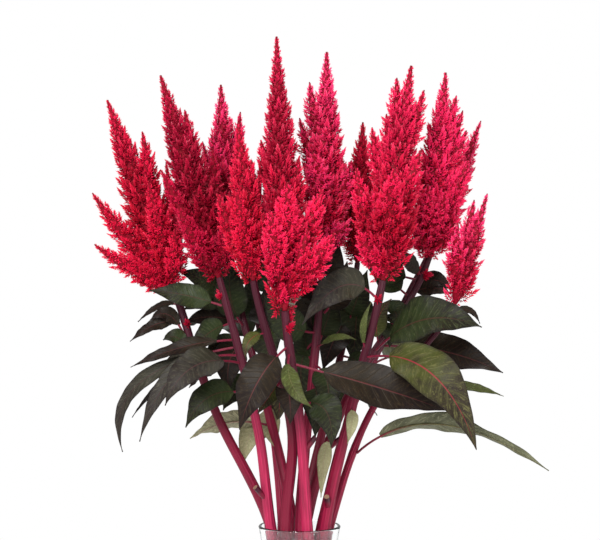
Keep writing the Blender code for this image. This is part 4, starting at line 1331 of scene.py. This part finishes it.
def glass_profile():
    """Down the outside, under the foot, and up the inside to the round lip."""
    outer = vase_outline()
    lip = VASE_WALL / 2
    inside = [(radius - VASE_WALL, height) for radius, height in outer if height > VASE_FLOOR + FLOOR_CORNER]
    rim = round_corner((LIP_RADIUS - lip, VASE_HEIGHT - lip), lip, 180, 0)
    foot = round_corner((FOOT_RADIUS - FOOT_CORNER, FOOT_CORNER), FOOT_CORNER, 0, -90, 4)
    hollow = [(FOOT_RADIUS - 6 * MM, 0.0), (FOOT_RADIUS - 9 * MM, 1.2 * MM), (0, 1.6 * MM)]
    floor = [(0, VASE_FLOOR), (FOOT_RADIUS - 12 * MM, VASE_FLOOR)]
    corner = (FOOT_RADIUS - VASE_WALL - FLOOR_CORNER, VASE_FLOOR + FLOOR_CORNER)
    floor += round_corner(corner, FLOOR_CORNER, -90, -10, 5)
    outer = [point for point in outer if 2 * MM < point[1] < VASE_HEIGHT - lip]
    return floor + list(reversed(inside[1:])) + rim + outer + foot + hollow


def water_profile():
    """The water touches the glass and climbs it a little at its edge."""
    outer = vase_outline()
    wall = [
        (radius - VASE_WALL + WATER_TOUCH, height)
        for radius, height in outer
        if VASE_FLOOR + FLOOR_CORNER < height < WATER_LEVEL - 1 * MM
    ]
    top = next(radius for radius, height in outer if height < WATER_LEVEL) - VASE_WALL + WATER_TOUCH
    edge = [(top - 4 * MM, 0), (top - 1.5 * MM, 0.4 * MM), (top, 1.6 * MM)]
    edge = [(radius, WATER_LEVEL + rise) for radius, rise in edge]
    corner = (FOOT_RADIUS - VASE_WALL - FLOOR_CORNER, VASE_FLOOR + FLOOR_CORNER)
    floor = round_corner(corner, FLOOR_CORNER + WATER_TOUCH, -10, -90, 5)
    return [(0, WATER_LEVEL), *edge, *wall, *floor, (0, VASE_FLOOR - WATER_TOUCH)]


def clear_finish(name, tint, index, waviness):
    """A clear body with a faintly uneven surface."""
    finish = Finish(name)
    waves = finish.noise(finish.place(), 22.0, 2.0)
    finish.bump(waves, waviness, 0.4)
    finish.set(Base_Color=tint, Roughness=0.0, IOR=index, Transmission_Weight=1.0)
    return finish.material


class CELOSIA_OT_plumes(bpy.types.Operator):
    """Cover the plumes with tufts of florets"""

    bl_idname = "celosia.plumes"
    bl_label = "Plumes"

    def execute(self, context):
        settings = settings_of("celosia_plumes")
        rng = np.random.default_rng(SEED)
        templates = templates_of(rng, settings)
        finishes = {kind: floret_finish(kind) for kind in FLORET_COLOURS}
        for number, plant in enumerate(PLANTS):
            plume(number, rng, templates, settings, finishes[plant.colour])
        tufts(rng, templates[0], settings, finishes["crimson"])
        return {"FINISHED"}


def tufts(rng, templates, settings, finish):
    """Small red tufts in the axils below the plumes, one piece for each plant that has some."""
    for number, plant in enumerate(PLANTS):
        roots, tips = [], []
        route = stem_route(plant)
        for tuft in TUFTS:
            if tuft.plant != number:
                continue
            centre, along = route_at(route, tuft.height * MM)
            out = plan_point(1, tuft.heading, 0)
            foot = centre + out * stem_radius(plant, centre.z) * 0.8
            for _ in range(AXIL_TUFTS):
                spread = Vector(rng.uniform(-0.6, 0.6, 3))
                heading = (out * 0.7 + along * 0.9 + spread).normalized()
                roots.append(foot)
                tips.append(foot + heading * tuft.size * MM * rng.uniform(0.5, 1.0))
        if roots:
            marks = {"rise": np.full(len(roots), 0.2), "tone": np.full(len(roots), 0.6)}
            name = f"stem_{number + 1:02d}_tufts"
            crowd = Crowd(templates, settings.tuft_length, np.array(roots), np.array(tips), marks)
            made = scattered(name, [crowd], rng)
            kept(made, name, [f"stem_{number + 1:02d}"], [finish])


class CELOSIA_OT_leaves(bpy.types.Operator):
    """Model the leaves with their stalks and veins"""

    bl_idname = "celosia.leaves"
    bl_label = "Leaves"

    def execute(self, context):
        settings = settings_of("celosia_leaves")
        finishes = {
            kind: [
                leaf_finish(kind, settings, False),
                leaf_finish(kind, settings, True),
                stalk_finish(kind, settings),
            ]
            for kind in LEAF_COLOURS
        }
        routes = [stem_route(plant) for plant in PLANTS]
        for group, rows, small, light in (
            ("leaf", LEAVES, False, False),
            ("small_leaf", SMALL_LEAVES, True, True),
            ("inner_leaf", INNER_LEAVES, False, True),
        ):
            for index, data in enumerate(rows):
                name = f"{group}_{index + 1:02d}"
                node = name if rows is LEAVES else f"stem_{data.plant + 1:02d}"
                name += "_blade" if rows is LEAVES else ""
                leaf(name, data, routes[data.plant], small, light, node, finishes[data.finish], settings)
        return {"FINISHED"}


class CELOSIA_OT_stems(bpy.types.Operator):
    """Model the ridged stems with their cut side shoots"""

    bl_idname = "celosia.stems"
    bl_label = "Stems"

    def execute(self, context):
        settings = settings_of("celosia_stems")
        finishes = [stem_finish(settings), cut_finish()]
        for number in range(len(PLANTS)):
            stem(number, settings, finishes)
        return {"FINISHED"}


class CELOSIA_OT_vase(bpy.types.Operator):
    """Turn the glass vase and fill it with water"""

    bl_idname = "celosia.vase"
    bl_label = "Vase and water"

    def execute(self, context):
        settings = settings_of("celosia_vase")
        glass = turned("vase_glass", glass_profile(), settings.steps)
        finish = clear_finish("glass", settings.glass, GLASS_INDEX, GLASS_WAVES)
        kept(glass, "vase_glass", ["vase"], [finish])
        water = turned("vase_water", water_profile(), settings.steps)
        finish = clear_finish("water", settings.water, WATER_INDEX, WATER_WAVES)
        kept(water, "vase_water", ["water"], [finish])
        return {"FINISHED"}


class CELOSIA_OT_studio(bpy.types.Operator):
    """Set up the floor, the soft lights and the camera"""

    bl_idname = "celosia.studio"
    bl_label = "Studio"

    def execute(self, context):
        settings = settings_of("celosia_studio")
        floor(settings)
        world(settings)
        lamp("key_light", KEY_PLACE, 0.9, settings.key)
        lamp("fill_light", FILL_PLACE, 1.2, settings.fill)
        lamp("top_light", TOP_PLACE, 1.0, settings.fill * TOP_SHARE)
        data = bpy.data.cameras.new("camera")
        data.lens = settings.lens
        data.sensor_width = 36
        data.clip_start = 0.05
        camera = bpy.data.objects.new("camera", data)
        camera.location = settings.camera_place
        camera.rotation_euler = (math.pi / 2, 0, 0)
        context.scene.collection.objects.link(camera)
        context.scene.camera = camera
        context.scene.view_settings.view_transform = "Standard"
        return {"FINISHED"}


def floor(settings):
    """A round pale floor that fades out into the white room."""
    deselect_all()
    bpy.ops.mesh.primitive_circle_add(vertices=128, radius=FLOOR_RADIUS, fill_type="NGON")
    made = bpy.context.object
    made.name = "floor"
    finish = Finish("floor")
    place = finish.place()
    far = finish.node("VectorMath", {0: place}, output=1, operation="LENGTH")
    grain = finish.noise(place, 14.0, 2.0)
    shade = finish.mix(grain * 0.2, settings.floor, scaled(settings.floor, 0.97))
    finish.set(Base_Color=shade, Roughness=0.7, Alpha=1 - far.between(*FLOOR_FADE))
    made.data.materials.append(finish.material)
    made.select_set(False)


def world(settings):
    """White behind everything that the camera sees, and a softer white light all round."""
    made = bpy.data.worlds.new("white_room")
    made.use_nodes = True
    nodes, links = made.node_tree.nodes, made.node_tree.links
    background = nodes["Background"]
    background.inputs["Color"].default_value = (1, 1, 1, 1)
    path = nodes.new("ShaderNodeLightPath")
    seen = nodes.new("ShaderNodeMath")
    seen.operation = "MAXIMUM"
    links.new(path.outputs["Is Camera Ray"], seen.inputs[0])
    links.new(path.outputs["Is Transmission Ray"], seen.inputs[1])
    strength = nodes.new("ShaderNodeMapRange")
    strength.inputs["To Min"].default_value = settings.ambient
    strength.inputs["To Max"].default_value = 1.0
    links.new(seen.outputs[0], strength.inputs["Value"])
    links.new(strength.outputs[0], background.inputs["Strength"])
    bpy.context.scene.world = made


def lamp(name, place, size, power):
    """A square soft light that faces the bunch."""
    data = bpy.data.lights.new(name, "AREA")
    data.size = size
    data.energy = power
    made = bpy.data.objects.new(name, data)
    made.location = place
    middle = (cad_box[0] + cad_box[1]) / 2
    made.rotation_euler = (middle - Vector(place)).to_track_quat("-Z", "Y").to_euler()
    bpy.context.scene.collection.objects.link(made)


OPERATORS = [
    CELOSIA_OT_plumes,
    CELOSIA_OT_leaves,
    CELOSIA_OT_stems,
    CELOSIA_OT_vase,
    CELOSIA_OT_studio,
]
SETTINGS = {
    "celosia_plumes": PlumeSettings,
    "celosia_leaves": LeafSettings,
    "celosia_stems": StemSettings,
    "celosia_vase": VaseSettings,
    "celosia_studio": StudioSettings,
}


class CELOSIA_PT_panel(bpy.types.Panel):
    """Sizes, colours and the steps that build the bunch"""

    bl_label = "Celosia"
    bl_space_type = "VIEW_3D"
    bl_region_type = "UI"
    bl_category = "Celosia"

    def draw(self, context):
        for operator, group in zip(OPERATORS, SETTINGS):
            box = self.layout.box()
            values = getattr(context.scene, group)
            for name in SETTINGS[group].__annotations__:
                box.prop(values, name)
            box.operator(operator.bl_idname)


def register():
    for group in SETTINGS.values():
        bpy.utils.register_class(group)
    for name, group in SETTINGS.items():
        setattr(bpy.types.Scene, name, PointerProperty(type=group))
    for operator in OPERATORS:
        bpy.utils.register_class(operator)
    bpy.utils.register_class(CELOSIA_PT_panel)


def unregister():
    bpy.utils.unregister_class(CELOSIA_PT_panel)
    for operator in reversed(OPERATORS):
        bpy.utils.unregister_class(operator)
    for name in SETTINGS:
        delattr(bpy.types.Scene, name)
    for group in SETTINGS.values():
        bpy.utils.unregister_class(group)


def main():
    register()
    bpy.ops.celosia.plumes()
    bpy.ops.celosia.leaves()
    bpy.ops.celosia.stems()
    bpy.ops.celosia.vase()
    bpy.ops.celosia.studio()
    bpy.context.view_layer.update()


if __name__ == "__main__":
    main()
